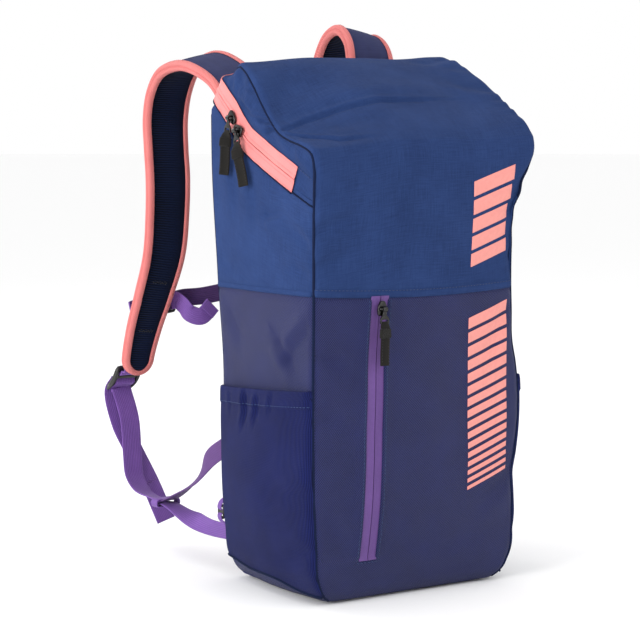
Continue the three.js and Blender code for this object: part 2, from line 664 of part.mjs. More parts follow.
// Everything that hangs below one strap. tip is the strap's last station; hand is -1 on the left.
function strapHardware(side, hand, stations, lockDrop, straps) {
  const tip = stations[stations.length - 1];
  const x = tip.centre.x;
  const at = (y, z, dx = 0) => v3(x + dx, tip.centre.y + y, tip.centre.z + z);
  // The lock hangs outwards and down from the strap's outer face.
  const top = at(13, 8);
  const down = v3(0, Math.sin(lockDrop), -Math.cos(lockDrop));
  const middle = top.clone().addScaledVector(down, LOCK.length / 2);
  const frame = new THREE.Matrix4().makeBasis(
    v3(1, 0, 0),
    down.clone().negate(),
    v3(1, 0, 0).cross(down.clone().negate()),
  );
  const lock = new THREE.Group();
  lock.applyMatrix4(frame.setPosition(middle));
  straps.add(lock);
  add(`ladder_lock_${side}`, ladderLock(), BLACK_PLASTIC, lock);
  const off = STRAP_THICK / 2 + WEBBING_THICK / 2 + 0.5;
  const tab = stations.slice(20, 25).map((s) => ({
    centre: s.centre.clone().addScaledVector(s.normal, off),
    across: s.across,
    width: Math.min(WEBBING, s.width - 4),
  }));
  add(`lock_tab_${side}`, band(tab, WEBBING_THICK), PURPLE, straps);

  // The webbing runs from the lock to a keeper loop, where two anchor webbings from the bag meet it.
  const keeper = v3(hand * 113, tip.centre.y - 49, 60);
  const foot = top.clone().addScaledVector(down, LOCK.length + 3);
  const inward = v3(1, 0, hand * 0.25).normalize();
  const run = [
    foot,
    foot.clone().add(v3(0, -1, -38)),
    foot.clone().add(v3(-hand * 2, -6, -78)),
    foot.clone().add(v3(-hand * 4, -34, -105)),
    keeper.clone().add(v3(0, 11, 0)),
  ];
  add(`strap_webbing_${side}`, webbing(run, WEBBING, WEBBING_THICK, 18, v3(1, 0, 0), inward), PURPLE);
  const tail = [
    foot.clone().add(v3(0, 6, -2)),
    foot.clone().add(v3(hand * 2, 11, -44)),
    foot.clone().add(v3(-hand * 6, 8, -82)),
    foot.clone().add(v3(-hand * 18, -20, -122)),
    foot.clone().add(v3(-hand * 26, -46, -148)),
  ];
  add(`webbing_tail_${side}`, webbing(tail, WEBBING, WEBBING_THICK, 14, v3(1, 0, 0)), PURPLE);
  add(`webbing_keeper_${side}`, new THREE.BoxGeometry(28, 14, 6).translate(...keeper.toArray()), PURPLE);
  const lower = [
    keeper.clone().add(v3(0, -8, -1)),
    v3(hand * 115, 181, 45),
    v3(hand * 117, 130, 42),
    v3(hand * 113, PAD_Y + 1.5, 42),
  ];
  add(`anchor_webbing_lower_${side}`, webbing(lower, 20, WEBBING_THICK, 10, v3(1, 0, 0)), PURPLE);
  const upper = [
    keeper.clone().add(v3(0, -8, 4)),
    v3(hand * 114, 167, 96),
    v3(hand * 115, 135, 124),
    v3(hand * 115, PAD_Y + 1.5, 148),
  ];
  add(`anchor_webbing_upper_${side}`, webbing(upper, 20, WEBBING_THICK, 10, v3(1, 0, 0)), PURPLE);
}

// ---- Chest strap ------------------------------------------------------------------------------
const CHEST_LEFT = v3(-120, 290, 279);
const CHEST_RIGHT = v3(68, 218, 320);
function chestStrap(straps) {
  const along = CHEST_RIGHT.clone().sub(CHEST_LEFT).normalize();
  const up = v3(0, 0, 1).addScaledVector(along, -along.z).normalize();
  const out = along.clone().cross(up);
  const buckle = new THREE.Group();
  buckle.applyMatrix4(new THREE.Matrix4().makeBasis(along, up, out).setPosition(CHEST_LEFT));
  straps.add(buckle);
  // In the buckle's frame +X runs along the strap, towards the right shoulder.
  const shell = solid(plate(26, 28, 4, 8).translate(13, 0, 0));
  const cavity = solid(new THREE.BoxGeometry(21, 22.5, 5).translate(16.5, 0, 0));
  add("chest_buckle_female", geometryOf(shell.subtract(cavity)), BLACK_PLASTIC, buckle);
  const prongs = [-8.5, 0, 8.5].map((y) => new THREE.BoxGeometry(18, 3.4, 3.6).translate(18, y, 0));
  const slot = { x: 2, y: 0, width: 6, height: CHEST_WEBBING + 2 };
  const frame = plate(18, 28, 4, 7, [slot]).translate(35.4, 0, 0);
  add("chest_buckle_male", join(frame, ...prongs), BLACK_PLASTIC, buckle);
  const at = (x, z, drop = 0) =>
    CHEST_LEFT.clone().addScaledVector(along, x).addScaledVector(out, z).add(v3(0, 0, -drop));
  const length = CHEST_LEFT.distanceTo(CHEST_RIGHT);
  const tab = [at(-9, 15.5), at(-7, 6), at(-2, 0)];
  add("chest_tab", webbing(tab, CHEST_WEBBING, 1.4, 5, up), PURPLE, straps);
  const main = [at(46, 0), at(80, 0, 3), at(length - 34, 0, 2), at(length, 0)];
  add("chest_webbing", webbing(main, CHEST_WEBBING, 1.4, 12, up), PURPLE, straps);
  const tail = [at(46, 9), at(53, 14, 5), at(61, 18, 14), at(75, 19, 19), at(90, 16, 12)];
  add("chest_webbing_tail", webbing(tail, CHEST_WEBBING, 1.4, 10, up), PURPLE, straps);
}

// ---- Assembly ---------------------------------------------------------------------------------
const lid = new THREE.Group();
const straps = new THREE.Group();
backpack.add(lid, straps);

basePanel();
frontPanel("front_lower_panel", WALL_FOOT_Z, SEAM_Z - GAP / 2, 8, LOWER_CLOTH);
frontPanel("front_upper_panel", SEAM_Z + GAP / 2, FOLD_Z - 3.5, 4, UPPER_CLOTH);
backPanel();
for (const [side, hand] of [["left", -1], ["right", 1]]) {
  sidePanel(`side_lower_panel_${side}`, hand, WALL_FOOT_Z, () => SEAM_Z - GAP / 2, 8, LOWER_CLOTH);
  sidePanel(`side_upper_panel_${side}`, hand, SEAM_Z + GAP / 2, (y) => table(SIDE_TOP, y), 5, UPPER_CLOTH);
  cornerPiping(`corner_piping_${side}`, hand);
  lidSide(`lid_side_panel_${side}`, hand, lid);
  sidePocket(`side_pocket_${side}`, hand);
}
lidTop(lid);
mainZipper(lid);
frontPocket();
sliders();
back();
insides();
const STRAPS = [
  { side: "left", hand: -1, rows: LEFT_STRAP, lockDrop: rad(45) },
  { side: "right", hand: 1, rows: RIGHT_STRAP, lockDrop: rad(35) },
];
for (const { side, hand, rows, lockDrop } of STRAPS) {
  const stations = strapStations(rows, hand);
  shoulderStrap(side, stations, straps);
  strapHardware(side, hand, stations, lockDrop, straps);
}
chestStrap(straps);

export default backpack;
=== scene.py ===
# The looks of a racket backpack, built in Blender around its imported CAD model.
import json
import math

import bmesh
import bpy
import numpy as np
from mathutils import Matrix, Vector


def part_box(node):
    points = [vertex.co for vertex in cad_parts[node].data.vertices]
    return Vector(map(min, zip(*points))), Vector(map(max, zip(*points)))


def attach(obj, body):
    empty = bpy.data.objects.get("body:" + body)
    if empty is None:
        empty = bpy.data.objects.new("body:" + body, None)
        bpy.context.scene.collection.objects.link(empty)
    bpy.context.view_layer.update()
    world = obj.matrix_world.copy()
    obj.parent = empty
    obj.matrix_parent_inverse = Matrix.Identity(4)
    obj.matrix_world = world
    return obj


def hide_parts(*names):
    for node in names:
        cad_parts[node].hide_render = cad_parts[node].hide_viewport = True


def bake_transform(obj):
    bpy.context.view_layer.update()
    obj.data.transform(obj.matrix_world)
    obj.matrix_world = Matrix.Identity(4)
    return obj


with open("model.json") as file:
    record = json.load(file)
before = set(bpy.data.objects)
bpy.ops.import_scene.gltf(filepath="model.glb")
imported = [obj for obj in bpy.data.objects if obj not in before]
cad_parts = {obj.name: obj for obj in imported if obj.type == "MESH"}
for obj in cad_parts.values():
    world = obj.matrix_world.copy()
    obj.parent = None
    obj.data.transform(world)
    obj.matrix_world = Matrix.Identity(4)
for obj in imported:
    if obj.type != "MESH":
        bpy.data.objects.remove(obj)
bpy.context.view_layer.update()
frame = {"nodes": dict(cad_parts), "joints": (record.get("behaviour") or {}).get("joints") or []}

JOINTS = {joint["name"]: joint for joint in frame["joints"]}
MM = 0.001  # lengths below are millimetres, in the CAD frame, and meshes are metres
HANDS = ((-1, "left"), (1, "right"))
LATTICE = 64  # the noise repeats after this many steps


# ---- Maths --------------------------------------------------------------------------------------
def smooth(t):
    t = np.clip(t, 0, 1)
    return t * t * (3 - 2 * t)


def lerp(a, b, t):
    return a + (b - a) * t


def unit(v):
    v = np.asarray(v, float)
    return v / np.maximum(np.linalg.norm(v, axis=-1, keepdims=True), 1e-9)


def curve(pairs, key):
    """A smooth line through (key, value) pairs."""
    k, v = np.array(pairs, float).T
    slope = np.gradient(v, k)
    key = np.clip(key, k[0], k[-1])
    i = np.clip(np.searchsorted(k, key, side="right") - 1, 0, len(k) - 2)
    h = k[i + 1] - k[i]
    t = (key - k[i]) / h
    ends = v[i] * (1 + 2 * t) * (1 - t) ** 2 + v[i + 1] * t * t * (3 - 2 * t)
    return ends + h * (slope[i] * t * (1 - t) ** 2 - slope[i + 1] * t * t * (1 - t))


def noise(x, y, seed):
    """Smooth noise between -1 and 1, with a new value at each whole x and y."""
    lattice = np.random.default_rng(seed).uniform(-1, 1, (LATTICE, LATTICE))
    i, j = np.floor(x).astype(int), np.floor(y).astype(int)
    u, v = smooth(x - i), smooth(y - j)

    def at(a, b):
        return lattice[(i + a) % LATTICE, (j + b) % LATTICE]

    return lerp(lerp(at(0, 0), at(1, 0), u), lerp(at(0, 1), at(1, 1), u), v)


def fold(x, y, points, depth, width):
    """A fold in cloth along a line of (x, y) points: a valley with a ridge on its left, which fades
    at both ends."""
    nearest = np.full(np.shape(x), 1e9)
    along = np.zeros(np.shape(x))
    points = np.array(points, float)
    lengths = np.linalg.norm(np.diff(points, axis=0), axis=1)
    done = 0
    for a, b, length in zip(points[:-1], points[1:], lengths):
        d = (b - a) / length
        t = np.clip((x - a[0]) * d[0] + (y - a[1]) * d[1], 0, length)
        dx, dy = x - a[0] - t * d[0], y - a[1] - t * d[1]
        side = np.where(d[0] * dy - d[1] * dx < 0, -1, 1)
        distance = np.hypot(dx, dy)
        nearer = distance < np.abs(nearest)
        nearest = np.where(nearer, distance * side, nearest)
        along = np.where(nearer, done + t, along)
        done += length
    fade = smooth(0.35 + along / (0.2 * done)) * smooth((done - along) / (0.6 * done))
    valley = np.exp(-((nearest / width) ** 2))
    hill = 0.7 * np.exp(-(((nearest - 1.7 * width) / (1.3 * width)) ** 2))
    return depth * fade * (hill - valley)


def folded(out, x, y, folds):
    """out with folds added to it, each one a line of points, a depth and a width."""
    for points, depth, width in folds:
        out = out + fold(x, y, points, depth, width)
    return out


def spaced(rows, count):
    """count + 1 evenly spaced rows on a centripetal Catmull-Rom curve. A row is x, y, z and anything
    that goes with them."""
    p = np.array(rows, float)
    p = np.vstack([2 * p[0] - p[1], p, 2 * p[-1] - p[-2]])
    t = np.linspace(0, 1, 24, endpoint=False)[:, None]
    dense = []
    for a, b, c, d in zip(p[:-3], p[1:-2], p[2:-1], p[3:]):
        ab, bc, cd = (max(np.linalg.norm((q - r)[:3]) ** 0.5, 1e-4) for q, r in ((a, b), (b, c), (c, d)))
        start = (c - b) + bc * ((b - a) / ab - (c - a) / (ab + bc))
        end = (c - b) + bc * ((d - c) / cd - (d - b) / (bc + cd))
        square, cube = 3 * (c - b) - 2 * start - end, start + end - 2 * (c - b)
        dense.append(b + t * start + t * t * square + t**3 * cube)
    dense = np.vstack([*dense, p[-2:-1]])
    return evenly(dense, count)


def reached(line):
    """How far along a polyline each of its points is."""
    return np.concatenate([[0], np.cumsum(np.linalg.norm(np.diff(line[:, :3], axis=0), axis=1))])


def read_at(line, places, wanted):
    """A polyline's rows at the wanted places, where its own rows are at places."""
    return np.stack([np.interp(wanted, places, column) for column in line.T], axis=1)


def evenly(line, count):
    """A polyline's rows at count + 1 even distances."""
    line = np.asarray(line, float)
    places = reached(line)
    return read_at(line, places, np.linspace(0, places[-1], count + 1))


def box(node):
    low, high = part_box(node)
    return np.array(low) / MM, np.array(high) / MM


def middle(node):
    return sum(box(node)) / 2


def joint_place(name):
    return np.array(JOINTS[name]["pos_m"], float) / MM


def joint_axis(name):
    return unit(JOINTS[name]["axis"])


# ---- Meshes -------------------------------------------------------------------------------------
def link(name, data):
    """A new object in the scene."""
    made = bpy.data.objects.new(name, data)
    bpy.context.scene.collection.objects.link(made)
    return made


def mesh_object(name, points, faces, uvs, materials, face_materials=None):
    """An object from points in millimetres, with texture coordinates in metres."""
    mesh = bpy.data.meshes.new(name)
    mesh.from_pydata((np.asarray(points) * MM).tolist(), [], faces)
    corners = np.empty(len(mesh.loops), int)
    mesh.loops.foreach_get("vertex_index", corners)
    layer = mesh.uv_layers.new(name="UVMap")
    layer.data.foreach_set("uv", (np.asarray(uvs) * MM)[corners].ravel())
    for material in materials:
        mesh.materials.append(material)
    if face_materials is not None:
        mesh.polygons.foreach_set("material_index", face_materials)
    build = bmesh.new()
    build.from_mesh(mesh)
    bmesh.ops.remove_doubles(build, verts=build.verts, dist=1e-6)
    bmesh.ops.dissolve_degenerate(build, edges=build.edges, dist=1e-7)
    bmesh.ops.recalc_face_normals(build, faces=build.faces)
    build.to_mesh(mesh)
    build.free()
    mesh.polygons.foreach_set("use_smooth", [True] * len(mesh.polygons))
    return link(name, mesh)


def outward_normals(grid, inside):
    normal = unit(np.cross(np.gradient(grid, axis=1), np.gradient(grid, axis=0)))
    return normal if np.sum(normal * (grid - np.array(inside, float))) > 0 else -normal


def sheet(name, grid, thick, skin, lining=None, inside=(0, 0, 250)):
    """Cloth with a rounded rim. grid[row, column] is its outer face, and inside is a point on its
    inner side."""
    rows, columns = grid.shape[:2]
    under = grid - outward_normals(grid, inside) * thick
    steps_u = np.linalg.norm(np.diff(grid, axis=1), axis=2)
    steps_v = np.linalg.norm(np.diff(grid, axis=0), axis=2)
    u = np.concatenate([np.zeros((rows, 1)), np.cumsum(steps_u, axis=1)], axis=1)
    v = np.concatenate([np.zeros((1, columns)), np.cumsum(steps_v, axis=0)], axis=0)
    u -= u[:, columns // 2 : columns // 2 + 1]
    v -= v[rows // 2]
    uv = np.stack([u, v], axis=-1).reshape(-1, 2)
    index = np.arange(rows * columns).reshape(rows, columns)
    rim = np.concatenate([index[0, :-1], index[:-1, -1], index[-1, :0:-1], index[:0:-1, 0]])
    inner = np.clip(rim // columns, 1, rows - 2) * columns + np.clip(rim % columns, 1, columns - 2)
    flat, flat_under = grid.reshape(-1, 3), under.reshape(-1, 3)
    edge = (flat[rim] + flat_under[rim]) / 2 + unit(flat[rim] - flat[inner]) * thick / 2
    count = rows * columns
    quads = np.stack([index[:-1, :-1], index[:-1, 1:], index[1:, 1:], index[1:, :-1]], axis=-1).reshape(-1, 4)
    faces = quads.tolist() + (quads[:, ::-1] + count).tolist()
    materials = [0] * len(quads) + [1 if lining else 0] * len(quads)
    mid = 2 * count + np.arange(len(rim))
    after, mid_after = np.roll(rim, -1), np.roll(mid, -1)
    for a, b, c, d in ((rim, mid, mid_after, after), (mid, rim + count, after + count, mid_after)):
        faces += np.stack([a, b, c, d], axis=-1).tolist()
        materials += [0] * len(rim)
    points = np.vstack([flat, flat_under, edge])
    return mesh_object(
        name, points, faces, np.vstack([uv, uv, uv[rim]]), [skin] + [lining] * bool(lining), materials,
    )


def sweep(name, centre, side, up, section, materials, closed=False, scale=None, segment_materials=None):
    """A section of (side, up) points carried along a line of centres. A closed one joins its own start."""
    centre, section = np.asarray(centre, float), np.asarray(section, float)
    scale = np.ones((len(centre), 2)) if scale is None else np.asarray(scale, float)
    loop = np.vstack([section, section[:1]])
    stretched = loop[None] * scale[:, None]
    points = centre[:, None] + side[:, None] * stretched[..., :1] + up[:, None] * stretched[..., 1:]
    if closed:
        points = np.concatenate([points, points[:1]])
    rings, count = points.shape[:2]
    around, run = reached(loop), reached(points.mean(axis=1))
    uv = np.stack(np.broadcast_arrays(around[None], run[:, None]), axis=-1).reshape(-1, 2)
    index = np.arange(rings * count).reshape(rings, count)
    quads = np.stack([index[:-1, :-1], index[:-1, 1:], index[1:, 1:], index[1:, :-1]], axis=-1)
    kinds = np.zeros(count - 1, int) if segment_materials is None else np.array(segment_materials)
    face_materials = np.broadcast_to(kinds, quads.shape[:2]).ravel().tolist()
    faces = quads.reshape(-1, 4).tolist()
    if not closed:
        faces += [index[0, :-1][::-1].tolist(), index[-1, :-1].tolist()]
        face_materials += [0, 0]
    return mesh_object(name, points.reshape(-1, 3), faces, uv, materials, face_materials)


def frames(line, hint):
    """Along, side and up at each point of a line; side leans as near to the hint as it can."""
    along = unit(np.gradient(np.asarray(line, float), axis=0))
    hint = np.broadcast_to(np.asarray(hint, float), along.shape)
    side = unit(hint - np.sum(hint * along, axis=1, keepdims=True) * along)
    return along, side, np.cross(along, side)


def oval(width, height, sides=12):
    turns = np.arange(sides) * 2 * math.pi / sides
    return np.stack([np.cos(turns) * width / 2, np.sin(turns) * height / 2], axis=1)


def slab(width, height, radius, across=6):
    """A flat section with round corners, and points across its wide faces."""
    radius = min(radius, height / 2)
    turns = np.linspace(0, math.pi / 2, 4)
    points = []
    for quarter in range(4):
        right, above = (1, 1, -1, -1)[quarter], (-1, 1, 1, -1)[quarter]
        angle = turns + (quarter - 1) * math.pi / 2
        corner = np.array([right * (width / 2 - radius), above * (height / 2 - radius)])
        points += (corner + radius * np.stack([np.cos(angle), np.sin(angle)], axis=1)).tolist()
        if quarter in (1, 3):
            reach = (width / 2 - radius) * np.linspace(right, -right, across + 2)[1:-1]
            points += [[x, above * height / 2] for x in reach]
    return np.array(points)


def tube(name, line, radius, material, sides=10, hint=(0.3, 0.2, 1)):
    _, side, up = frames(line, hint)
    return sweep(name, line, side, up, oval(2 * radius, 2 * radius, sides), [material])


def band(name, line, width, thick, material, across, across_end=None):
    """Webbing along a line; across is the direction over its width."""
    share = smooth(np.linspace(0, 1, len(line)))[:, None]
    start, end = np.array(across, float), np.array(across if across_end is None else across_end, float)
    _, side, up = frames(line, lerp(start, end, share))
    return sweep(name, line, side, up, slab(width, thick, thick / 2), [material])


def stitches(name, line, normal, thread, length=3.0, gap=1.2, width=0.55, lift=0.25, slant=0.0):
    """A row of thread stitches, each one a small long bead lying on the cloth."""
    line = np.asarray(line, float)
    normal = np.broadcast_to(np.asarray(normal, float), line.shape)
    total = np.sum(np.linalg.norm(np.diff(line, axis=0), axis=1))
    count = max(1, int(total / (length + gap)))
    both = evenly(np.hstack([line, normal]), 2 * count)
    centre, up = both[1::2, :3], unit(both[1::2, 3:])
    along = unit(both[2::2, :3] - both[:-2:2, :3])
    up = unit(up - np.sum(up * along, axis=1, keepdims=True) * along)
    side = np.cross(along, up)
    along = unit(along + slant * side)
    side = np.cross(along, up)
    ring = oval(1, 1, 6)
    template = [(-0.5, 0, 0)] + [(x, a, b) for x in (-0.3, 0.3) for a, b in ring] + [(0.5, 0, 0)]
    template = np.array(template) * (length, width, width)
    bead = [(0, 1 + (k + 1) % 6, 1 + k) for k in range(6)]
    bead += [(1 + k, 1 + (k + 1) % 6, 7 + (k + 1) % 6, 7 + k) for k in range(6)]
    bead += [(13, 7 + k, 7 + (k + 1) % 6) for k in range(6)]
    axes = np.stack([along, side, up], axis=1)
    points = (centre + up * lift)[:, None] + template @ axes
    faces = [tuple(14 * n + k for k in face) for n in range(len(centre)) for face in bead]
    uv = np.tile(template[:, :2], (len(centre), 1))
    return mesh_object(name, points.reshape(-1, 3), faces, uv, [thread])


def plate(name, outlines, thick, bevel, material, matrix, bend=0.0):
    """A moulded plate with rounded edges from 2-D outlines, the first outside and the rest holes.
    bend curves it about its own X."""
    shape = bpy.data.curves.new(name, "CURVE")
    shape.dimensions = "2D"
    shape.fill_mode = "BOTH"
    shape.extrude = thick / 2 - bevel
    shape.bevel_depth = bevel
    shape.bevel_resolution = 2
    shape.offset = -bevel
    for outline in outlines:
        line = shape.splines.new("POLY")
        line.points.add(len(outline) - 1)
        line.points.foreach_set("co", [c for x, y in outline for c in (x, y, 0, 1)])
        line.use_cyclic_u = True
    holder = link(name, shape)
    bpy.context.view_layer.update()
    mesh = bpy.data.meshes.new_from_object(holder.evaluated_get(bpy.context.evaluated_depsgraph_get()))
    bpy.data.objects.remove(holder)
    build = bmesh.new()
    build.from_mesh(mesh)
    bmesh.ops.remove_doubles(build, verts=build.verts, dist=1e-4)
    for vertex in build.verts:
        vertex.co.z -= bend * vertex.co.y**2
    build.transform(Matrix.Diagonal((MM, MM, MM, 1)))
    build.transform(matrix)
    bmesh.ops.recalc_face_normals(build, faces=build.faces)
    build.to_mesh(mesh)
    build.free()
    mesh.name = name
    mesh.materials.clear()
    mesh.materials.append(material)
    mesh.shade_smooth()
    mesh.set_sharp_from_angle(angle=math.radians(40))
    return link(name, mesh)


def rounded(width, height, radius, x=0.0, y=0.0, steps=5):
    """A rounded rectangle's outline."""
    turns = np.linspace(0, math.pi / 2, steps)
    points = []
    for quarter in range(4):
        right, above = (1, -1, -1, 1)[quarter], (1, 1, -1, -1)[quarter]
        for angle in turns + quarter * math.pi / 2:
            points.append((
                x + right * (width / 2 - radius) + radius * math.cos(angle),
                y + above * (height / 2 - radius) + radius * math.sin(angle),
            ))
    return points


def mirrored(left):
    """A closed outline from its left half, which starts and ends by the middle line."""
    return left + [(-x, y) for x, y in left[::-1] if x]


def basis(x, y, z, origin):
    """The matrix from a part's own frame, whose meshes are in metres, to the CAD frame."""
    m = np.eye(4)
    m[:3, 0], m[:3, 1], m[:3, 2], m[:3, 3] = x, y, z, np.asarray(origin) * MM
    return Matrix(m.tolist())


def join(name, *objects):
    """Several meshes as one object."""
    build = bmesh.new()
    materials = []
    for piece in objects:
        start = len(build.faces)
        build.from_mesh(piece.data)
        build.faces.ensure_lookup_table()
        for material in piece.data.materials:
            if material not in materials:
                materials.append(material)
        places = [materials.index(material) for material in piece.data.materials]
        for face in build.faces[start:]:
            face.material_index = places[face.material_index]
    mesh = bpy.data.meshes.new(name)
    build.to_mesh(mesh)
    build.free()
    for material in materials:
        mesh.materials.append(material)
    for piece in objects:
        bpy.data.objects.remove(piece)
    return link(name, mesh)


# The lid's cloth bends from the bag's to the lid's over this stretch, behind the fold.
LID_FOLD = ("bag", "lid", (0, -0.1, 0.463), (0, -0.069, 0.494))


def place(piece, rides, slot, *stands_for):
    """Gives a piece its body, or bakes its place into its mesh when it is given the two bodies that it goes
    between, and hides the CAD nodes that it stands for. slot, its finish, is not used."""
    if isinstance(rides, str):
        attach(piece, rides)
    else:
        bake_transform(piece)
    if stands_for:
        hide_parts(*stands_for)
    return piece


# ---- Materials ----------------------------------------------------------------------------------
def colour(text):
    """A linear colour from an sRGB hex one."""
    channels = [int(text[k : k + 2], 16) / 255 for k in (1, 3, 5)]
    return [c / 12.92 if c <= 0.04045 else ((c + 0.055) / 1.055) ** 2.4 for c in channels] + [1.0]


class Surface:
    """A material on the principled shader, built up from procedural nodes."""

    def __init__(self, name, coordinates="UV", **sockets):
        self.material = bpy.data.materials.new(name)
        self.material.use_nodes = True
        self.tree = self.material.node_tree
        self.shader = self.tree.nodes["Principled BSDF"]
        for key, value in sockets.items():
            self.shader.inputs[key.replace("_", " ").title().replace("Ior", "IOR")].default_value = value
        self.place = self.node("TexCoord").outputs[coordinates]
        split = self.node("SeparateXYZ", {"Vector": self.place})
        self.x, self.y, self.z = split.outputs

    def node(self, kind, inputs=None, **settings):
        made = self.tree.nodes.new("ShaderNode" + kind)
        for key, value in settings.items():
            setattr(made, key, value)
        for key, value in (inputs or {}).items():
            self.feed(made.inputs[key], value)
        return made

    def feed(self, socket, value):
        if isinstance(value, bpy.types.NodeSocket):
            self.tree.links.new(value, socket)
        else:
            socket.default_value = value

    def math(self, operation, a, b=0.0, clamp=False):
        return self.node("Math", {0: a, 1: b}, operation=operation, use_clamp=clamp).outputs[0]

    def wave(self, distance, pitch, shift=0.0):
        """A sine between -1 and 1 that repeats after a pitch in millimetres."""
        turns = self.math("MULTIPLY", distance, 2 * math.pi / (pitch * MM))
        return self.math("SINE", self.math("ADD", turns, shift))

    def grain(self, size, detail=2.0, stretch=(1, 1, 1)):
        """Noise about 0 whose features are size millimetres across."""
        vector = self.place
        if stretch != (1, 1, 1):
            vector = self.node("Mapping", {"Vector": self.place, "Scale": stretch}).outputs[0]
        inputs = {"Vector": vector, "Scale": 1 / (size * MM), "Detail": detail}
        return self.math("SUBTRACT", self.node("TexNoise", inputs).outputs[0], 0.5)

    def mix(self, share, a, b):
        made = self.node("Mix", data_type="RGBA", clamp_factor=True)
        self.feed(made.inputs[0], share)
        self.feed(made.inputs[6], a)
        self.feed(made.inputs[7], b)
        return made.outputs[2]

    def blend(self, *terms, start=0.0):
        """start plus each (value, share) pair's product."""
        total = start
        for value, share in terms:
            total = self.math("ADD", self.math("MULTIPLY", value, share), total)
        return total

    def finish(self, tone, low, high, height, depth, rough=None):
        """Colours from low to high as tone goes from 0 to 1, and relief that is depth millimetres high."""
        self.feed(self.shader.inputs["Base Color"], self.mix(tone, colour(low), colour(high)))
        bump = self.node("Bump", {"Height": height, "Distance": depth * MM, "Strength": 1.0})
        self.feed(self.shader.inputs["Normal"], bump.outputs[0])
        if rough is not None:
            self.feed(self.shader.inputs["Roughness"], rough)
        return self.material


def plain_cloth(name, low, high):
    """A fine plain weave of mixed light and dark yarns."""
    s = Surface(name, roughness=0.9, sheen_weight=0.02, sheen_roughness=0.5, specular_ior_level=0.06)
    weave = s.math("MULTIPLY", s.wave(s.x, 0.9), s.wave(s.y, 0.9))
    warp, weft = s.grain(1.2, 2, (1, 0.06, 1)), s.grain(1.2, 2, (0.06, 1, 1))
    patches = s.grain(60, 3)
    tone = s.blend((weave, 0.16), (warp, 0.6), (weft, 0.6), (patches, 0.7), start=0.5)
    height = s.blend((weave, 0.6), (warp, 0.45), (weft, 0.45))
    return s.finish(tone, low, high, height, 0.16)


def dobby_cloth(name, low, high):
    """A coated cloth woven in small raised diamonds."""
    s = Surface(name, roughness=0.5, sheen_weight=0.02, sheen_roughness=0.4, specular_ior_level=0.28)
    lean = s.math("ADD", s.x, s.math("MULTIPLY", s.y, 0.35))
    dots = s.math("MULTIPLY", s.wave(lean, 2.3), s.wave(s.y, 2.0))
    yarn = s.wave(s.math("ADD", s.x, s.y), 0.7)
    patches = s.grain(45, 3)
    tone = s.blend((dots, 0.95), (yarn, 0.1), (patches, 0.6), start=0.45)
    height = s.blend((dots, 0.8), (yarn, 0.15))
    return s.finish(tone, low, high, height, 0.75, s.blend((dots, -0.12), (patches, 0.15), start=0.55))


def ribbed_cloth(name, low, high):
    """A stretch cloth with fine upright ribs."""
    s = Surface(name, roughness=0.8, sheen_weight=0.03, sheen_roughness=0.5, specular_ior_level=0.1)
    ribs = s.wave(s.x, 1.8)
    rungs = s.wave(s.y, 1.7, 0.6)
    broken = s.math("MULTIPLY", ribs, s.blend((rungs, 0.35), start=0.65))
    patches = s.grain(50, 3)
    tone = s.blend((broken, 0.6), (patches, 0.7), (s.grain(0.8), 0.3), start=0.5)
    return s.finish(tone, low, high, broken, 0.5)


def tape(name, low, high, pitch, slant=0.0, shine=0.6, cross=0.5, roughness=0.7, depth=0.2):
    """A narrow woven tape with ribs along it; slant turns them into a twill."""
    s = Surface(name, roughness=roughness, sheen_weight=0.06, sheen_roughness=0.35, specular_ior_level=shine)
    ribs = s.wave(s.math("ADD", s.x, s.math("MULTIPLY", s.y, slant)), pitch)
    picks = s.wave(s.y, cross * pitch)
    weave = s.blend((ribs, 0.75), (s.math("MULTIPLY", ribs, picks), 0.35))
    patches = s.grain(30, 3)
    fuzz = s.grain(0.7, 3)
    tone = s.blend((weave, 0.3), (patches, 0.6), (fuzz, 0.35), start=0.5)
    return s.finish(tone, low, high, s.blend((weave, 0.7), (fuzz, 0.5)), depth)


def air_mesh(name, low, high):
    """A spacer mesh: rows of small open holes over a darker ground."""
    s = Surface(name, roughness=0.95, sheen_weight=0.03, sheen_roughness=0.5, specular_ior_level=0.1)
    thirds = [(1, 0), (-0.5, 0.866), (-0.5, -0.866)]
    parts = [s.math("ADD", s.math("MULTIPLY", s.x, a), s.math("MULTIPLY", s.y, b)) for a, b in thirds]
    holes = s.blend(*[(s.wave(part, 2.4), 0.33) for part in parts])
    patches = s.grain(40, 3)
    tone = s.blend((holes, -0.75), (patches, 0.5), (s.grain(0.6), 0.4), start=0.5)
    return s.finish(tone, low, high, s.math("MULTIPLY", holes, -1), 0.6)


def lining_cloth(name, low, high):
    """A thin lining with a square grid of thicker yarns."""
    s = Surface(name, roughness=0.7, sheen_weight=0.05, specular_ior_level=0.25)
    lines = [s.math("POWER", s.math("ABSOLUTE", s.wave(c, 10)), 24) for c in (s.x, s.y)]
    grid = s.math("MAXIMUM", *lines)
    tone = s.blend((grid, 0.5), (s.grain(40), 0.7), (s.grain(0.8), 0.4), start=0.35)
    return s.finish(tone, low, high, s.blend((grid, 1), (s.grain(1.0), 0.6)), 0.2)


def moulded(name, low, high, roughness):
    """Moulded plastic or painted metal: fine grain, faint mottling, and edges rubbed lighter."""
    s = Surface(name, "Object", roughness=roughness)
    grain, mottle = s.grain(0.35, 3), s.grain(6, 4)
    worn = s.math("MULTIPLY", s.math("SUBTRACT", s.node("NewGeometry").outputs["Pointiness"], 0.52), 6, True)
    tone = s.blend((grain, 0.5), (mottle, 0.6), (worn, 0.8), start=0.25)
    rough = s.blend((mottle, 0.35), (grain, 0.2), start=roughness)
    return s.finish(tone, low, high, s.blend((grain, 1), (mottle, 0.4)), 0.05, rough)


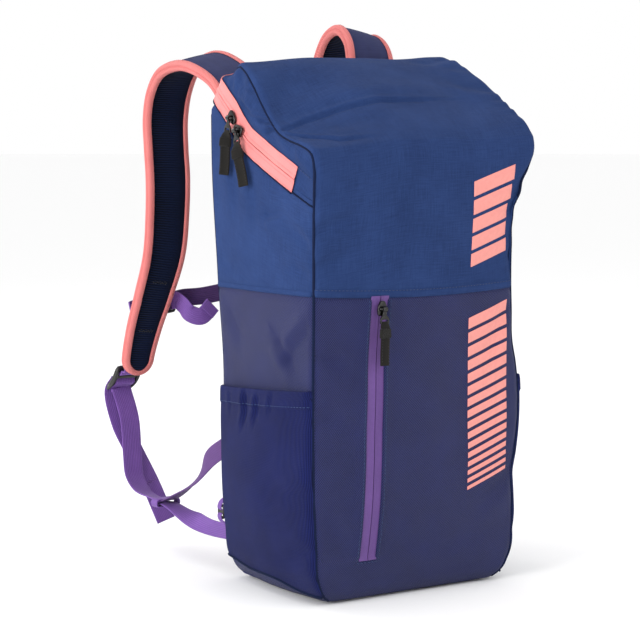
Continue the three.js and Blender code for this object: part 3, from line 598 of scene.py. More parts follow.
def printed(name, low, high):
    """Rubbery ink that has sunk a little into the weave below it."""
    s = Surface(name, roughness=0.5, specular_ior_level=0.45)
    weave = s.math("MULTIPLY", s.wave(s.x, 1.1), s.wave(s.y, 1.1))
    worn = s.grain(5, 4)
    tone = s.blend((weave, 0.12), (worn, 0.6), (s.grain(50), 0.5), start=0.55)
    return s.finish(tone, low, high, s.blend((weave, 0.5), (worn, 0.3)), 0.12)


UPPER_CLOTH = plain_cloth("upper cloth", "#1a2a50", "#304678")
SEAM_CLOTH = plain_cloth("seam cloth", "#0c1228", "#1a2544")
LOWER_CLOTH = dobby_cloth("lower cloth", "#0a0e30", "#343b7a")
POCKET_CLOTH = ribbed_cloth("pocket cloth", "#080c30", "#1b2460")
STRAP_CLOTH = plain_cloth("strap cloth", "#262a48", "#3e4266")
PINK_TAPE = tape("pink tape", "#d8696b", "#f08f8b", 1.3, shine=0.7, roughness=0.55)
PINK_BINDING = tape("pink binding", "#c05a5a", "#ee8a86", 2.2, slant=0.9, depth=0.55)
PURPLE_TAPE = tape("purple tape", "#4c3070", "#6e4892", 1.2)
PURPLE_WEBBING = tape("purple webbing", "#4e2f76", "#8054aa", 2.2, cross=0.45, shine=0.5)
SHADED_WEBBING = tape("shaded webbing", "#3a2254", "#6c4488", 2.2, cross=0.45, shine=0.4)
# A darker copy of the purple webbing, for the chest strap's band: painted shade, as that band lies in shade.
SHADE_PAINTED_WEBBING = tape("webbing with painted shade", "#2a1642", "#50306c", 2.2, cross=0.45, shine=0.4)
BLACK_WEBBING = tape("black webbing", "#060605", "#24211d", 1.9, shine=0.3, roughness=0.9)
STRAP_MESH = air_mesh("strap mesh", "#02050e", "#0c1836")
LINING = lining_cloth("lining", "#2c3044", "#4e5470")
BLACK_PLASTIC = moulded("black plastic", "#080808", "#2a2a28", 0.35)
BLACK_METAL = moulded("black metal", "#020202", "#0c0c0d", 0.2)
BOARD = moulded("board", "#1c1c20", "#44444a", 0.6)
BLUE_THREAD = tape("blue thread", "#1a2648", "#344674", 0.6)
LOWER_THREAD = tape("slate thread", "#1a3058", "#3c5a8c", 0.6)
PINK_THREAD = tape("pink thread", "#c46c6c", "#e69490", 0.6)
PURPLE_THREAD = tape("purple thread", "#74509a", "#a27cc0", 0.6)
BLACK_THREAD = tape("black thread", "#0e0e12", "#2d2b34", 0.6)
CORAL_PRINT = printed("coral print", "#d8807a", "#ee9c92")


# ---- Camera, light and floor --------------------------------------------------------------------
def studio():
    camera = link("camera", bpy.data.cameras.new("camera"))
    azimuth, elevation, distance = math.radians(-34.5), math.radians(5.2), 2.2
    target = Vector((-0.0625, 0, 0.284))
    back = Vector((
        math.sin(azimuth) * math.cos(elevation),
        -math.cos(azimuth) * math.cos(elevation),
        math.sin(elevation),
    ))
    camera.location = target + back * distance
    camera.rotation_euler = (-back).to_track_quat("-Z", "Y").to_euler()
    camera.data.lens = 117.45
    camera.data.sensor_width = 36
    bpy.context.scene.camera = camera

    # name, place, what it is turned to, size, power
    lights = [
        ("key", (-2.9, -0.5, 1.0), (0, 0, 0.3), 1.5, 66),
        ("front", (0.9, -2.8, 1.3), (0, 0, 0.3), 1.8, 12),
        ("right", (2.4, 0.2, 1.5), (0, 0, 0.3), 1.4, 8),
        ("behind", (-0.6, 2.4, 1.9), (0, 0.1, 0.4), 1.6, 18),
    ]
    for name, where, aim, size, power in lights:
        light = link(name, bpy.data.lights.new(name, "AREA"))
        light.data.size = size
        light.data.energy = power
        light.location = where
        light.rotation_euler = (Vector(aim) - Vector(where)).to_track_quat("-Z", "Y").to_euler()

    world = bpy.data.worlds.new("studio")
    bpy.context.scene.world = world
    world.use_nodes = True
    world.node_tree.nodes["Background"].inputs["Color"].default_value = (1, 1, 1, 1)
    world.node_tree.nodes["Background"].inputs["Strength"].default_value = 1.0
    bpy.context.scene.view_settings.view_transform = "Standard"

    # A wide round floor, a little below the base so that the two don't meet. It is in metres.
    pale = moulded("floor", "#fafafa", "#ffffff", 1.0)
    radius, height = 40, -0.0005
    turns = np.linspace(0, 2 * math.pi, 96, endpoint=False)
    build = bmesh.new()
    build.faces.new([build.verts.new((radius * math.cos(a), radius * math.sin(a), height)) for a in turns])
    mesh = bpy.data.meshes.new("floor")
    build.to_mesh(mesh)
    build.free()
    mesh.materials.append(pale)
    link("floor", mesh)


# ---- Shape of the bag ---------------------------------------------------------------------------
CLOTH = 2.2  # how thick the shown cloth is, with its lining
SEAM_Z = box("front_upper_panel")[0][2]  # between the lower and the upper cloth
BACK_Y = box("back_panel")[1][1]
FOOT_Z = 2.5  # where the walls turn under into the base
PIPE = 1.4


# The right front corner's cloth sags in, by this much at each height.
RIGHT_IN = [
    (60, 0), (91, 4), (107, 6), (124, 6), (141, 3), (160, 0), (235, 0), (260, 5), (294, 7), (328, 11),
    (361, 15), (395, 18.5), (412, 15), (429, 10), (446, 4), (460, -3), (474, -5),
]


def half_width(z):
    return curve([(0, 104), (8, 115), (26, 126), (60, 130), (318, 134), (440, 141), (520, 142)], z)


def corner_x(hand, z):
    """How far out the front corner is on a side."""
    ripple = 1.6 * np.sin(z / 4.5) * np.exp(-(((z - 418) / 30) ** 2))
    return half_width(z) - (hand > 0) * (curve(RIGHT_IN, z) + ripple)


def front_edge_y(z):
    return curve([(0, -78), (8, -84), (26, -88), (60, -90), (318, -92), (440, -104), (460, -106)], z)


def slack(a, b, seed, amount=1.0):
    """The soft unevenness of hanging cloth."""
    wide = noise(a / 75, b / 60, seed)
    fine = noise(a / 28, b / 36, seed + 1)
    return amount * (1.6 * wide + 0.6 * fine)


def rolled(distance, radius):
    """How far cloth falls back as it comes within a radius of its edge."""
    near = np.clip(1 - distance / radius, 0, 1)
    return radius * (1 - np.sqrt(1 - near**2)) * 0.8


def puckers(distance, along, seed, height=0.8, reach=16, pitch=11):
    """Small gathers beside a seam."""
    wander = along / pitch + 0.6 * noise(along / 40, distance * 0, seed)
    uneven = 0.6 + 0.4 * noise(along / 25, distance * 0, seed + 1)
    return height * np.sin(2 * math.pi * wander) * np.exp(-distance / reach) * uneven


FRONT_ZIP_HALF = 10


def front_zip_x(z):
    return np.interp(z, [46, 311], [-67, -57])


def front_wrinkles(x, z):
    """How far the front stands out from its plain shape."""
    half = corner_x(np.sign(x), z)
    out = slack(x + 300, z, 11, 0.9)
    out = folded(out, x, z, (
        ([(-128, 262), (-96, 236), (-72, 228)], 2.2, 7),
        ([(-127, 196), (-100, 182), (-78, 170)], 2.0, 8),
        ([(-126, 96), (-104, 70), (-84, 52)], 1.8, 8),
        ([(-30, 60), (30, 46), (92, 52)], 1.6, 10),
        ([(118, 300), (96, 262), (90, 210)], 1.6, 9),
        ([(124, 120), (98, 96), (60, 80)], 1.6, 9),
        ([(140, 440), (126, 424), (113, 398), (110, 350)], 3.2, 6),
        ([(124, 380), (118, 350), (119, 322)], 2.6, 5),
        ([(-139, 383), (-110, 390), (-76, 402)], 2.2, 8),
        ([(-137, 344), (-112, 352), (-90, 366)], 1.8, 8),
        ([(-139, 424), (-120, 418), (-96, 420)], 1.6, 7),
    ))
    out = out + puckers(half - np.abs(x), z, 21, 0.5 + 0.9 * (x > 0) * smooth((z - 330) / 40), 9, 21)
    return out


def front_face(x, z):
    """The y of the front's outer face."""
    half = corner_x(np.sign(x), z)
    s = np.clip(x / half, -1, 1)
    crown = 8 * smooth(z / 120) * np.interp(z, [400, 460], [1, 0.1])
    away = np.abs(x - front_zip_x(z))
    inside_zip = smooth((z - 44) / 3) * smooth((SEAM_Z - 5 - z) / 2)
    lip = 1.7 * np.exp(-(np.maximum(away - 12.5, 0) / 5) ** 2) * smooth((away - 9.4) / 1.0)
    recess = 1.2 * (1 - smooth((away - 9.4) / 1.0))
    y = front_edge_y(z) - crown * (1 - s * s) + rolled(half - np.abs(x), 9)
    return y - front_wrinkles(x, z) * smooth((half - np.abs(x)) / 6) - (lip - recess) * inside_zip


# How far out the sides reach under the main zipper, at each y.
LEAN = [(-104, 141), (-71, 142), (-17, 143.4), (17, 143), (46, 142), (66, 141), (79, 139), (92, 134)]


def side_x(hand, y, z):
    """The distance from the middle of a side wall's outer face."""
    front, back = front_edge_y(z), BACK_Y
    t = np.clip((y - front) / (back - front), 0, 1)
    wall = half_width(z) + 3 * np.sin(math.pi * t) - 6 * smooth((330 - z) / 120) * smooth(1.6 * t - 0.6)
    wall = wall - (half_width(z) - corner_x(hand, z)) * (1 - smooth(t * 3))
    lean = curve(LEAN, y)
    nearly_top = smooth((z - curve(ZIP_FOOT, y) + 9) / 11)
    x = lerp(wall, np.minimum(lean, wall + 2), nearly_top)
    return x - rolled(y - front, 8) - rolled(back - y, 8)


# The main zipper runs up the left side, across the back and down the right side.
ZIP_SIDE = [
    (-142, -71, 434),
    (-143.5, -17, 459),
    (-143, 17, 476),
    (-142, 46, 502),
    (-141, 66, 517.5),
    (-137.5, 80, 526.5),
    (-126, 86, 531),
    (-110, 83, 532),
]
ZIP_STEPS = 420
ZIP_LINE = spaced(ZIP_SIDE + [(0, 81.5, 532)] + [(-x, y, z) for x, y, z in ZIP_SIDE[::-1]], ZIP_STEPS)
ZIP_TAPE = 14
ZIP_FOOT = [(-104, 405), (-93, 408), (-65, 421), (-11, 446), (24, 465), (54, 491), (72, 508), (92, 514)]


def zip_frame():
    """At each step of the zipper: the direction away from the bag, and the one over the tape, which
    points to the lid."""
    along = unit(np.gradient(ZIP_LINE, axis=0))
    on_side = smooth((np.abs(ZIP_LINE[:, 0]) - 110) / 30)
    out = np.stack([np.sign(ZIP_LINE[:, 0]) * on_side, 0.78 * (1 - on_side), 0.62 * (1 - on_side)], axis=1)
    return unit(out), unit(np.cross(along, unit(out)))


ZIP_OUT, ZIP_UP = zip_frame()


def beside_zip(up, out):
    return ZIP_LINE + ZIP_UP * up + ZIP_OUT * out


# Down the lid: y, height at its left edge, how much higher the rest is, half its width.
LID = np.array([
    (-105.6, 449, 1, 138.6),
    (-105.4, 458, 4, 140),
    (-102, 465, 8, 140.8),
    (-92, 470, 14, 141),
    (-79, 474, 20, 141),
    (-60, 478, 28, 140.5),
    (-41, 484, 35, 140),
    (-25, 497, 32, 139),
    (-10, 511, 26, 138),
    (7, 530, 17, 137),
    (24, 546, 9, 136),
    (44, 555, 6, 132),
    (60, 553, 8, 128),
    (72, 544.5, 1, 122),
])
LID_Y, LID_HALF = 0, 3  # columns of the table


def lid_at(y, key):
    return curve(np.stack([LID[1:, LID_Y], LID[1:, key]], axis=1), y)


def lid_wrinkles(x, y):
    """Creases over the lid, which run out from the pinch at its left edge."""
    out = slack(x + 500, y + 90, 31, 0.9)
    out = folded(out, x, y, (
        ([(-142, -42), (-107, -38), (-80, -41), (-37, -47), (33, -47), (120, -45)], 2.6, 2.3),
        ([(-142, -42), (-107, -38), (-80, -41), (-37, -47), (33, -47), (120, -45)], 2.4, 11),
        ([(-142, -44), (-128, -58), (-99, -88), (-42, -98)], 2.4, 2.3),
        ([(-142, -44), (-128, -58), (-99, -88), (-42, -98)], 2.0, 10),
        ([(-141, -43), (-134, -77)], 2.2, 2.4),
        ([(-120, -58), (-60, -70), (0, -76)], 2.0, 12),
        ([(-138, -30), (-100, 4), (-70, 40)], 1.8, 10),
        ([(138, -34), (110, -24), (84, -8)], 2.4, 8),
        ([(132, 36), (100, 26), (66, 34)], 2.6, 8),
        ([(136, 6), (112, 10), (90, 2)], 2.0, 6),
        ([(-70, 66), (-10, 56), (60, 62)], 1.8, 8),
    ))
    out = out + puckers(lid_at(y, LID_HALF) - x, y, 35, 1.3, 10, 19)
    out = out + puckers(lid_at(y, LID_HALF) + x, y, 37, 0.6, 8, 13)
    return out


FRONT_ROWS, LID_ROWS = 64, 160


def upper_rows(s):
    """The upper cloth's outer face: up the front, over the fold and back along the lid."""
    heights = np.linspace(SEAM_Z, 443, FRONT_ROWS)
    rows = read_at(LID, np.linspace(0, 1, len(LID)), np.linspace(0, 1, 400))
    for _ in range(120):  # rounds the corners between the stations
        rows[1:-1] = (rows[:-2] + 2 * rows[1:-1] + rows[2:]) / 4
    rows = evenly(rows, LID_ROWS)
    y, z, rise, half = (rows[:, k][:, None] for k in range(4))
    full = smooth((s + 1) / 0.9)[None]
    right = smooth(s[None] * 2 - 1)
    x = s[None] * half + 5 * right
    height = z + rise * full + 4 * right
    lid_grid = np.stack(np.broadcast_arrays(x, y - 0.8 * (1 - s[None] ** 2), height), axis=-1)
    normal = outward_normals(lid_grid, (0, 0, 300))
    inwards = half * (1 - np.abs(s[None]))
    drop = rolled(inwards, 7)
    share = smooth((y + 104) / 14) * smooth(inwards / 6)
    lid_grid = lid_grid + normal * (lid_wrinkles(x, y) * share - drop)[..., None]
    z_front = heights[:, None] - 4 * (1 - s[None] ** 2) * smooth(1 - (heights[:, None] - SEAM_Z) / 60)
    x_front = s[None] * (corner_x(np.sign(s[None]), z_front) - 2.4)
    front = np.stack([x_front, front_face(x_front, z_front), z_front], axis=-1)
    grid = np.concatenate([front, lid_grid])
    seam = len(heights)
    for _ in range(24):  # eases the front into the lid
        part = grid[seam - 14 : seam + 14].copy()
        grid[seam - 13 : seam + 13] = (part[:-2] + 2 * part[1:-1] + part[2:]) / 4
    return grid


ACROSS = np.linspace(-1, 1, 191)
UPPER = upper_rows(ACROSS)
LID_START = FRONT_ROWS + 13  # the row of the upper cloth where its side edges leave the corner piping


# ---- Panels -------------------------------------------------------------------------------------
def sew(name, line, normal, thread, slot, rides="bag", **bead):
    """A row of stitches; bead gives its measures where they aren't the usual ones."""
    return place(stitches(name, line, normal, thread, **bead), rides, slot)


def front_lower():
    before, after = 0.22, 0.38  # how far across the zipper's strip starts and ends
    strip = 14  # half the strip's width
    columns = np.concatenate([
        np.linspace(0, before, 16, endpoint=False),
        np.linspace(before, after, 40, endpoint=False),
        np.linspace(after, 1, 64),
    ])[None]
    z = np.concatenate([np.linspace(FOOT_Z, 40, 12, endpoint=False), np.linspace(40, SEAM_Z + 2, 100)])
    z = z[:, None] - 4 * smooth((z[:, None] - 200) / 118) * (1 - (columns * 2 - 1) ** 2)
    left, right, zip_x = 2.4 - corner_x(-1, z), corner_x(1, z) - 2.4, front_zip_x(z)
    x = lerp(left, zip_x - strip, columns / before)
    over_strip = lerp(zip_x - strip, zip_x + strip, (columns - before) / (after - before))
    x = np.where(columns < before, x, over_strip)
    x = np.where(columns > after, lerp(zip_x + strip, right, (columns - after) / (1 - after)), x)
    y = front_face(x, z) + 0.9 * smooth((z - SEAM_Z + 8) / 4)
    grid = np.stack([x, y, np.broadcast_to(z, x.shape)], axis=-1)
    piece = sheet("front_lower_cloth", grid, CLOTH, LOWER_CLOTH, LINING)
    place(piece, "bag", "lower_cloth", "front_lower_panel")
    foot = 41  # the height of the stitches under the zipper
    heights = np.linspace(foot + 2, SEAM_Z - 6, 80)
    for hand, name in HANDS:
        x = front_zip_x(heights) + hand * (FRONT_ZIP_HALF + 3)
        line = np.stack([x, front_face(x, heights), heights], axis=1)
        sew(f"front_zip_stitches_{name}", line, (0, -1, 0), LOWER_THREAD, "lower_cloth")
    x = np.linspace(-13, 13, 14) + front_zip_x(foot)
    line = np.stack([x, front_face(x, x * 0 + foot), x * 0 + foot], axis=1)
    sew("front_zip_stitches_foot", line, (0, -1, 0), LOWER_THREAD, "lower_cloth", slant=0.5)


def upper_cloth():
    place(
        sheet("front_and_lid_cloth", UPPER, CLOTH, UPPER_CLOTH, LINING, (0, 0, 330)),
        LID_FOLD, "upper_cloth", "front_upper_panel", "lid_top_panel",
    )
    # A folded edge of the upper cloth laps over the lower one, sewn down along its length.
    lap = UPPER[[0, 1, 3, 4]]
    lap[..., 1] -= np.array([0.2, 1.0, 0.9, -0.4])[:, None]
    lap[0, :, 2] -= 1.2
    place(sheet("colour_seam_lap", lap, 1.4, UPPER_CLOTH), "bag", "upper_cloth")
    line = UPPER[3] + (0, -0.9, 0)
    sew("colour_seam_stitches", line, (0, -1, 0), BLUE_THREAD, "upper_cloth")


def side_wrinkles(hand, y, z):
    out = slack(y + 200 + 90 * hand, z, 41 + hand, 0.9)
    out = folded(out, y, z, (
        ([(-14, 396), (-34, 399), (-58, 404)], 3.2, 5),
        ([(-92, 366), (-70, 380), (-40, 386)], 2.8, 7),
        ([(-92, 338), (-66, 344), (-44, 336)], 1.8, 7),
        ([(10, 452), (2, 410), (6, 370)], 1.6, 9),
        ([(50, 470), (38, 420), (44, 370)], 1.6, 9),
        ([(80, 346), (30, 336), (-20, 344)], 1.4, 8),
        ([(-86, 288), (-56, 266), (-28, 228)], 3.6, 7),
        ([(-26, 272), (-50, 246), (-64, 222)], 3.6, 7),
        ([(70, 296), (50, 270), (36, 236)], 2.0, 9),
    ))
    return out


def side_point(hand, y, z):
    x = side_x(hand, y, z)
    edge = np.minimum(y - front_edge_y(z), BACK_Y - y)
    under_tape = smooth((z - curve(ZIP_FOOT, y) + 4) / 6)
    x = x + side_wrinkles(hand, y, z) * smooth(edge / 14) * (1 - under_tape) - 1.9 * under_tape
    return np.stack(np.broadcast_arrays(hand * x, y, z), axis=-1)


def sides():
    t = np.linspace(0, 1, 90)[None]
    for hand, name in HANDS:
        for part, low, rows in (("lower", FOOT_Z, 90), ("upper", SEAM_Z, 70)):
            v = np.linspace(0, 1, rows)[:, None]
            y_top = lerp(front_edge_y(440) + 1, BACK_Y - 1, t)
            high = SEAM_Z + 2 + 0 * t if part == "lower" else curve(ZIP_FOOT, y_top) + 7
            z = lerp(low, high, v)
            y = lerp(front_edge_y(z) + 1.5, BACK_Y - 1.5, t)
            grid = side_point(hand, y, z)
            if part == "lower":
                grid[..., 0] -= hand * 0.9 * smooth((z - SEAM_Z + 8) / 4)
            cloth = LOWER_CLOTH if part == "lower" else UPPER_CLOTH
            piece = sheet(f"side_{part}_cloth_{name}", grid, CLOTH, cloth, LINING)
            place(piece, "bag", f"{part}_cloth", f"side_{part}_panel_{name}")
        y = np.linspace(front_edge_y(SEAM_Z) + 4, BACK_Y - 4, 70)
        line = side_point(hand, y, y * 0 + SEAM_Z + 3) + (hand * 0.1, 0, 0)
        sew(f"side_seam_stitches_{name}", line, (hand, 0, 0), BLUE_THREAD, "upper_cloth")
        edges = [
            side_point(hand, y, y * 0 + SEAM_Z + above) + (hand * out, 0, 0)
            for above, out in ((-1.2, 0.3), (0.6, 1.0), (3.6, 0.9), (5, -0.4))
        ]
        place(sheet(f"side_seam_lap_{name}", np.stack(edges), 1.4, UPPER_CLOTH), "bag", "upper_cloth")


def piping():
    for hand, name in HANDS:
        z = np.linspace(4, 440, 120)
        line = np.stack([hand * (corner_x(hand, z) - 2.3), front_edge_y(z) + 2.4, z], axis=1)
        corner = UPPER[FRONT_ROWS + 3 : LID_START, 0 if hand < 0 else -1] - (hand * 0.4, 0, 0)
        line = np.vstack([line, corner])
        piece = tube(f"front_piping_{name}", evenly(line, 150), PIPE, SEAM_CLOTH)
        place(piece, "bag", "upper_cloth", f"corner_piping_{name}")
        z = np.linspace(5, 500, 120)
        x = side_x(hand, BACK_Y - 2 + 0 * z, z) - 0.6
        line = np.stack([hand * x, BACK_Y - 2.2 - 5 * smooth(1 - z / 40), z], axis=1)
        place(tube(f"back_piping_{name}", line, PIPE, SEAM_CLOTH), "bag", "upper_cloth")


def base():
    # The base's rows turn up at their ends into the walls.
    s, t = np.meshgrid(np.linspace(-1, 1, 61), np.linspace(-1, 1, 45))
    edge = np.maximum(np.abs(s), np.abs(t))
    rise = 4.5 * smooth((edge - 0.9) / 0.1)
    round_x = s * (109 - 3 * np.abs(t) ** 8)
    round_y = 3.5 + t * (84 - 3 * np.abs(s) ** 8)
    grid = np.stack([round_x, round_y, 0.2 + rise + 0.15 * noise(s * 7 + 9, t * 6 + 9, 51)], axis=-1)
    place(sheet("base_cloth", grid, 2, LOWER_CLOTH, LINING, (0, 0, 250)), "bag", "lower_cloth", "base_panel")


def lid_outline():
    """The lid's edge from its left front corner round the back to the right front one."""
    left, rear, right = UPPER[LID_START:, 0], UPPER[-1], UPPER[LID_START:, -1][::-1]
    return np.vstack([left, rear[1:-1], right])


def gusset():
    """The cloth between the main zipper and the lid's edge."""
    outline = lid_outline()
    reach = reached(outline)
    left_count = len(UPPER) - LID_START
    back_left, back_right = reach[left_count - 1], reach[-left_count]

    def at_y(y):
        """How far along the left edge the outline reaches y."""
        return np.interp(y, outline[:left_count, 1], reach[:left_count])

    # A step of the zipper on the left side matches the outline at its own y, and at the back at its own x.
    half_steps = ZIP_STEPS // 2
    corner_at = -128  # the x where the zipper turns from the side to the back
    corner = int(np.argmin(np.abs(ZIP_LINE[:half_steps, 0] - corner_at)))
    match = np.minimum(at_y(ZIP_LINE[:corner, 1] * 0.97 - 2), back_left)
    back_middle = (back_left + back_right) / 2
    rear = np.interp(ZIP_LINE[corner : half_steps + 1, 0], [corner_at, 0], [back_left, back_middle])
    match = np.maximum.accumulate(np.concatenate([match, rear]))
    match = np.concatenate([match, (reach[-1] - match[:-1])[::-1]])
    top = read_at(outline, reach, match)
    steps = np.arange(ZIP_STEPS + 1)
    from_end = np.minimum(steps, steps[::-1])[:, None]
    under_tape = beside_zip(lerp(-12.5, 6, smooth(from_end / 20)), -1.6)
    tape_edge = beside_zip(ZIP_TAPE, -0.9)

    # In front of the zipper the gusset goes on to the corner piping, down to the seam.
    ahead = np.linspace(0, 1, 16)[:-1, None]
    foot_z, waist_z = 406, 432  # the heights on the piping of its foot and of its waist
    parts = []
    for hand, end in ((-1, 0), (1, -1)):
        edge = UPPER[:LID_START, end]
        tuck = (-hand * 0.6, 1.2, 0)
        corner_foot, corner_waist = (
            edge[np.argmin(np.abs(edge[:, 2] - z))] + tuck for z in (foot_z, waist_z)
        )
        foot = lerp(corner_foot, under_tape[end], ahead)
        waist = lerp(corner_waist, tape_edge[end], ahead)
        crest = read_at(outline[::-hand], reach, ahead[:, 0] * match[0] * 0.98)
        parts.append((foot, waist, crest))
    foot = np.vstack([parts[0][0], under_tape, parts[1][0][::-1]])
    waist = np.vstack([parts[0][1], tape_edge, parts[1][1][::-1]])
    crest = np.vstack([parts[0][2], top, parts[1][2][::-1]])
    v = np.linspace(0, 1, 36)[:, None, None]
    waist_at = 0.25  # how far up the rows the waist is
    share = (v - waist_at) / (1 - waist_at)
    grid = np.where(v < waist_at, lerp(foot, waist, v / waist_at), lerp(waist, crest, share))
    run = reached(waist)[None]
    height = np.linalg.norm(crest - waist, axis=1)[None]
    share = np.clip(share[..., 0], 0, 1)
    puff = np.sin(math.pi * share) * np.minimum(height * 0.09, 3.0)
    soft = 1.6 * noise(run / 16, share * 2.2, 61) + 0.9 * noise(run / 8, share * 1.4, 62)
    puff = puff + soft * np.sin(math.pi * share) ** 0.7 * smooth(height / 30)
    on_side = smooth((np.abs(grid[..., 0]) - 120) / 10) * np.sin(math.pi * share) ** 0.4
    puff = puff + on_side * folded(0, grid[..., 1], grid[..., 2], (
        ([(-42, 485), (-30, 490), (22, 499)], 4.2, 2.6),
        ([(-42, 485), (-34, 486), (-6, 478)], 4.0, 2.4),
        ([(-4, 522), (12, 524), (36, 530)], 3.6, 3),
        ([(8, 500), (24, 508), (46, 522)], 2.8, 3),
        ([(-42, 482), (-60, 472), (-88, 460)], 1.8, 3.4),
        ([(40, 552), (34, 530), (42, 512)], 2.4, 4),
    ))
    grid += outward_normals(grid, (0, 0, 470)) * puff[..., None]
    near = (1 - ahead) ** 2
    for side in (grid, grid[:, ::-1]):  # the front edges follow the corner's piping
        end = 0 if side[0, 0, 0] < 0 else -1
        edge = UPPER[: LID_START + 1, end]
        edge = evenly(edge[np.argmin(np.abs(edge[:, 2] - foot_z)) :], len(v) - 1)
        edge += (0.3 * np.sign(side[0, 0, 0]), 1.2, 0)
        side[:, : len(near)] += (edge - side[:, 0])[:, None] * near
    place(
        sheet("lid_gusset", grid, 1.6, UPPER_CLOTH, LINING, (0, 0, 470)),
        LID_FOLD, "upper_cloth", "lid_side_panel_left", "lid_side_panel_right",
    )
    place(tube("lid_seam", evenly(outline, 420), 0.95, SEAM_CLOTH, 8), LID_FOLD, "upper_cloth")
    # The corner's own seam goes down from the zipper's end, and a row of stitches crosses above it.
    for hand, name in HANDS:
        y, z = np.linspace(-99, -64, 16), np.linspace(407, 421.5, 16)
        line = side_point(hand, y, z) + (hand * 0.5, 0, 0)
        place(tube(f"corner_seam_{name}", line, 0.9, SEAM_CLOTH, 8), "bag", "upper_cloth")
        ends = np.array([(hand * (corner_x(hand, 434) - 0.6), -100, 434.0), (hand * 143, -78, 446.0)])
        sew(f"corner_stitches_{name}", evenly(ends, 12), (hand, 0, 0), BLUE_THREAD, "upper_cloth")


# ---- Zippers ------------------------------------------------------------------------------------
def main_zipper():
    # Out from the teeth: how far across the tape, and how far away from the bag.
    profile = [
        (0.25, -0.5), (0.35, 0.25), (0.9, 0.7), (1.8, 0.6), (2.8, 0.1), (5, 0), (9, 0), (12, 0.1), (
            ZIP_TAPE, 0,
        ),
    ]
    steps = np.arange(ZIP_STEPS + 1)
    for name, sign, rides in (("lower", -1, "bag"), ("upper", 1, LID_FOLD)):
        grid = np.stack([beside_zip(sign * across, out + 0.9) for across, out in profile])
        grid = grid + ZIP_OUT * 0.35 * noise(steps / 6, steps * 0.0 + sign, 71)[:, None]
        piece = sheet(f"main_zip_tape_{name}", grid, 0.9, PINK_TAPE, None, (0, 0, 400))
        place(piece, rides, "pink_zip", f"main_zip_{name}")
        for across, part in ((4.2, "coil"), (ZIP_TAPE - 1.6, "edge")):
            row, line = f"main_zip_stitches_{name}_{part}", beside_zip(sign * across, 0.95)
            sew(row, line, ZIP_OUT, PINK_THREAD, "pink_zip", rides, length=2.2, gap=0.9, width=0.4)
    # A thin dark cord is let in along the tape's lower edge.
    line = beside_zip(-ZIP_TAPE - 0.9, 0.5)
    place(tube("main_zip_piping", line, 1.05, SEAM_CLOTH, 8), "bag", "upper_cloth")


def front_zipper():
    heights = np.linspace(44, SEAM_Z - 3, 90)
    middle_x = front_zip_x(heights)
    flat = front_face(middle_x, heights) - 1.6
    profile = [
        (0.25, -0.6), (0.35, 0.2), (0.8, 0.7), (1.6, 0.6), (2.4, 0.1), (5, 0), (8, 0), (
            FRONT_ZIP_HALF + 0.8, -0.1,
        ),
    ]
    for sign, name in HANDS:
        lines = [np.stack([middle_x + sign * across, flat - out, heights], axis=1) for across, out in profile]
        piece = sheet(f"front_zip_tape_{name}", np.stack(lines), 0.9, PURPLE_TAPE, None, (0, 0, 180))
        place(piece, "bag", "purple_zip", f"front_zip_{name}")


# ---- Zipper sliders and pulls -------------------------------------------------------------------
BAR_Z = 5.4  # the bar's height above the slider's foot
LINK = 15
BRIDGE = [(-4.1, 0.8), (-4.1, 3.6), (-3.4, 5.0), (-2.4, 5.4), (2.4, 5.4), (3.4, 5.0), (4.1, 3.6), (4.1, 0.8)]
SHIELD = mirrored([(-1.4, -8), (-3, -7.2), (-5, -3), (-5.9, 1.6), (-5.6, 5.8), (-3.8, 7.4)])
LINK_FRAME = mirrored([
    (0, 2.5), (-1.9, 1.9), (-2.3, 0.6), (-2.0, -4.6), (-2.6, -6.6), (-4.6, -8.4), (-5.6, -10.4), (
        -5.6, -14.2,
    ),
    (-4.6, -15.4),
])
COLLAR = mirrored([(-5.0, 5.4), (-6.1, 4.6), (-6.6, -3.4), (-5.8, -4.6)])


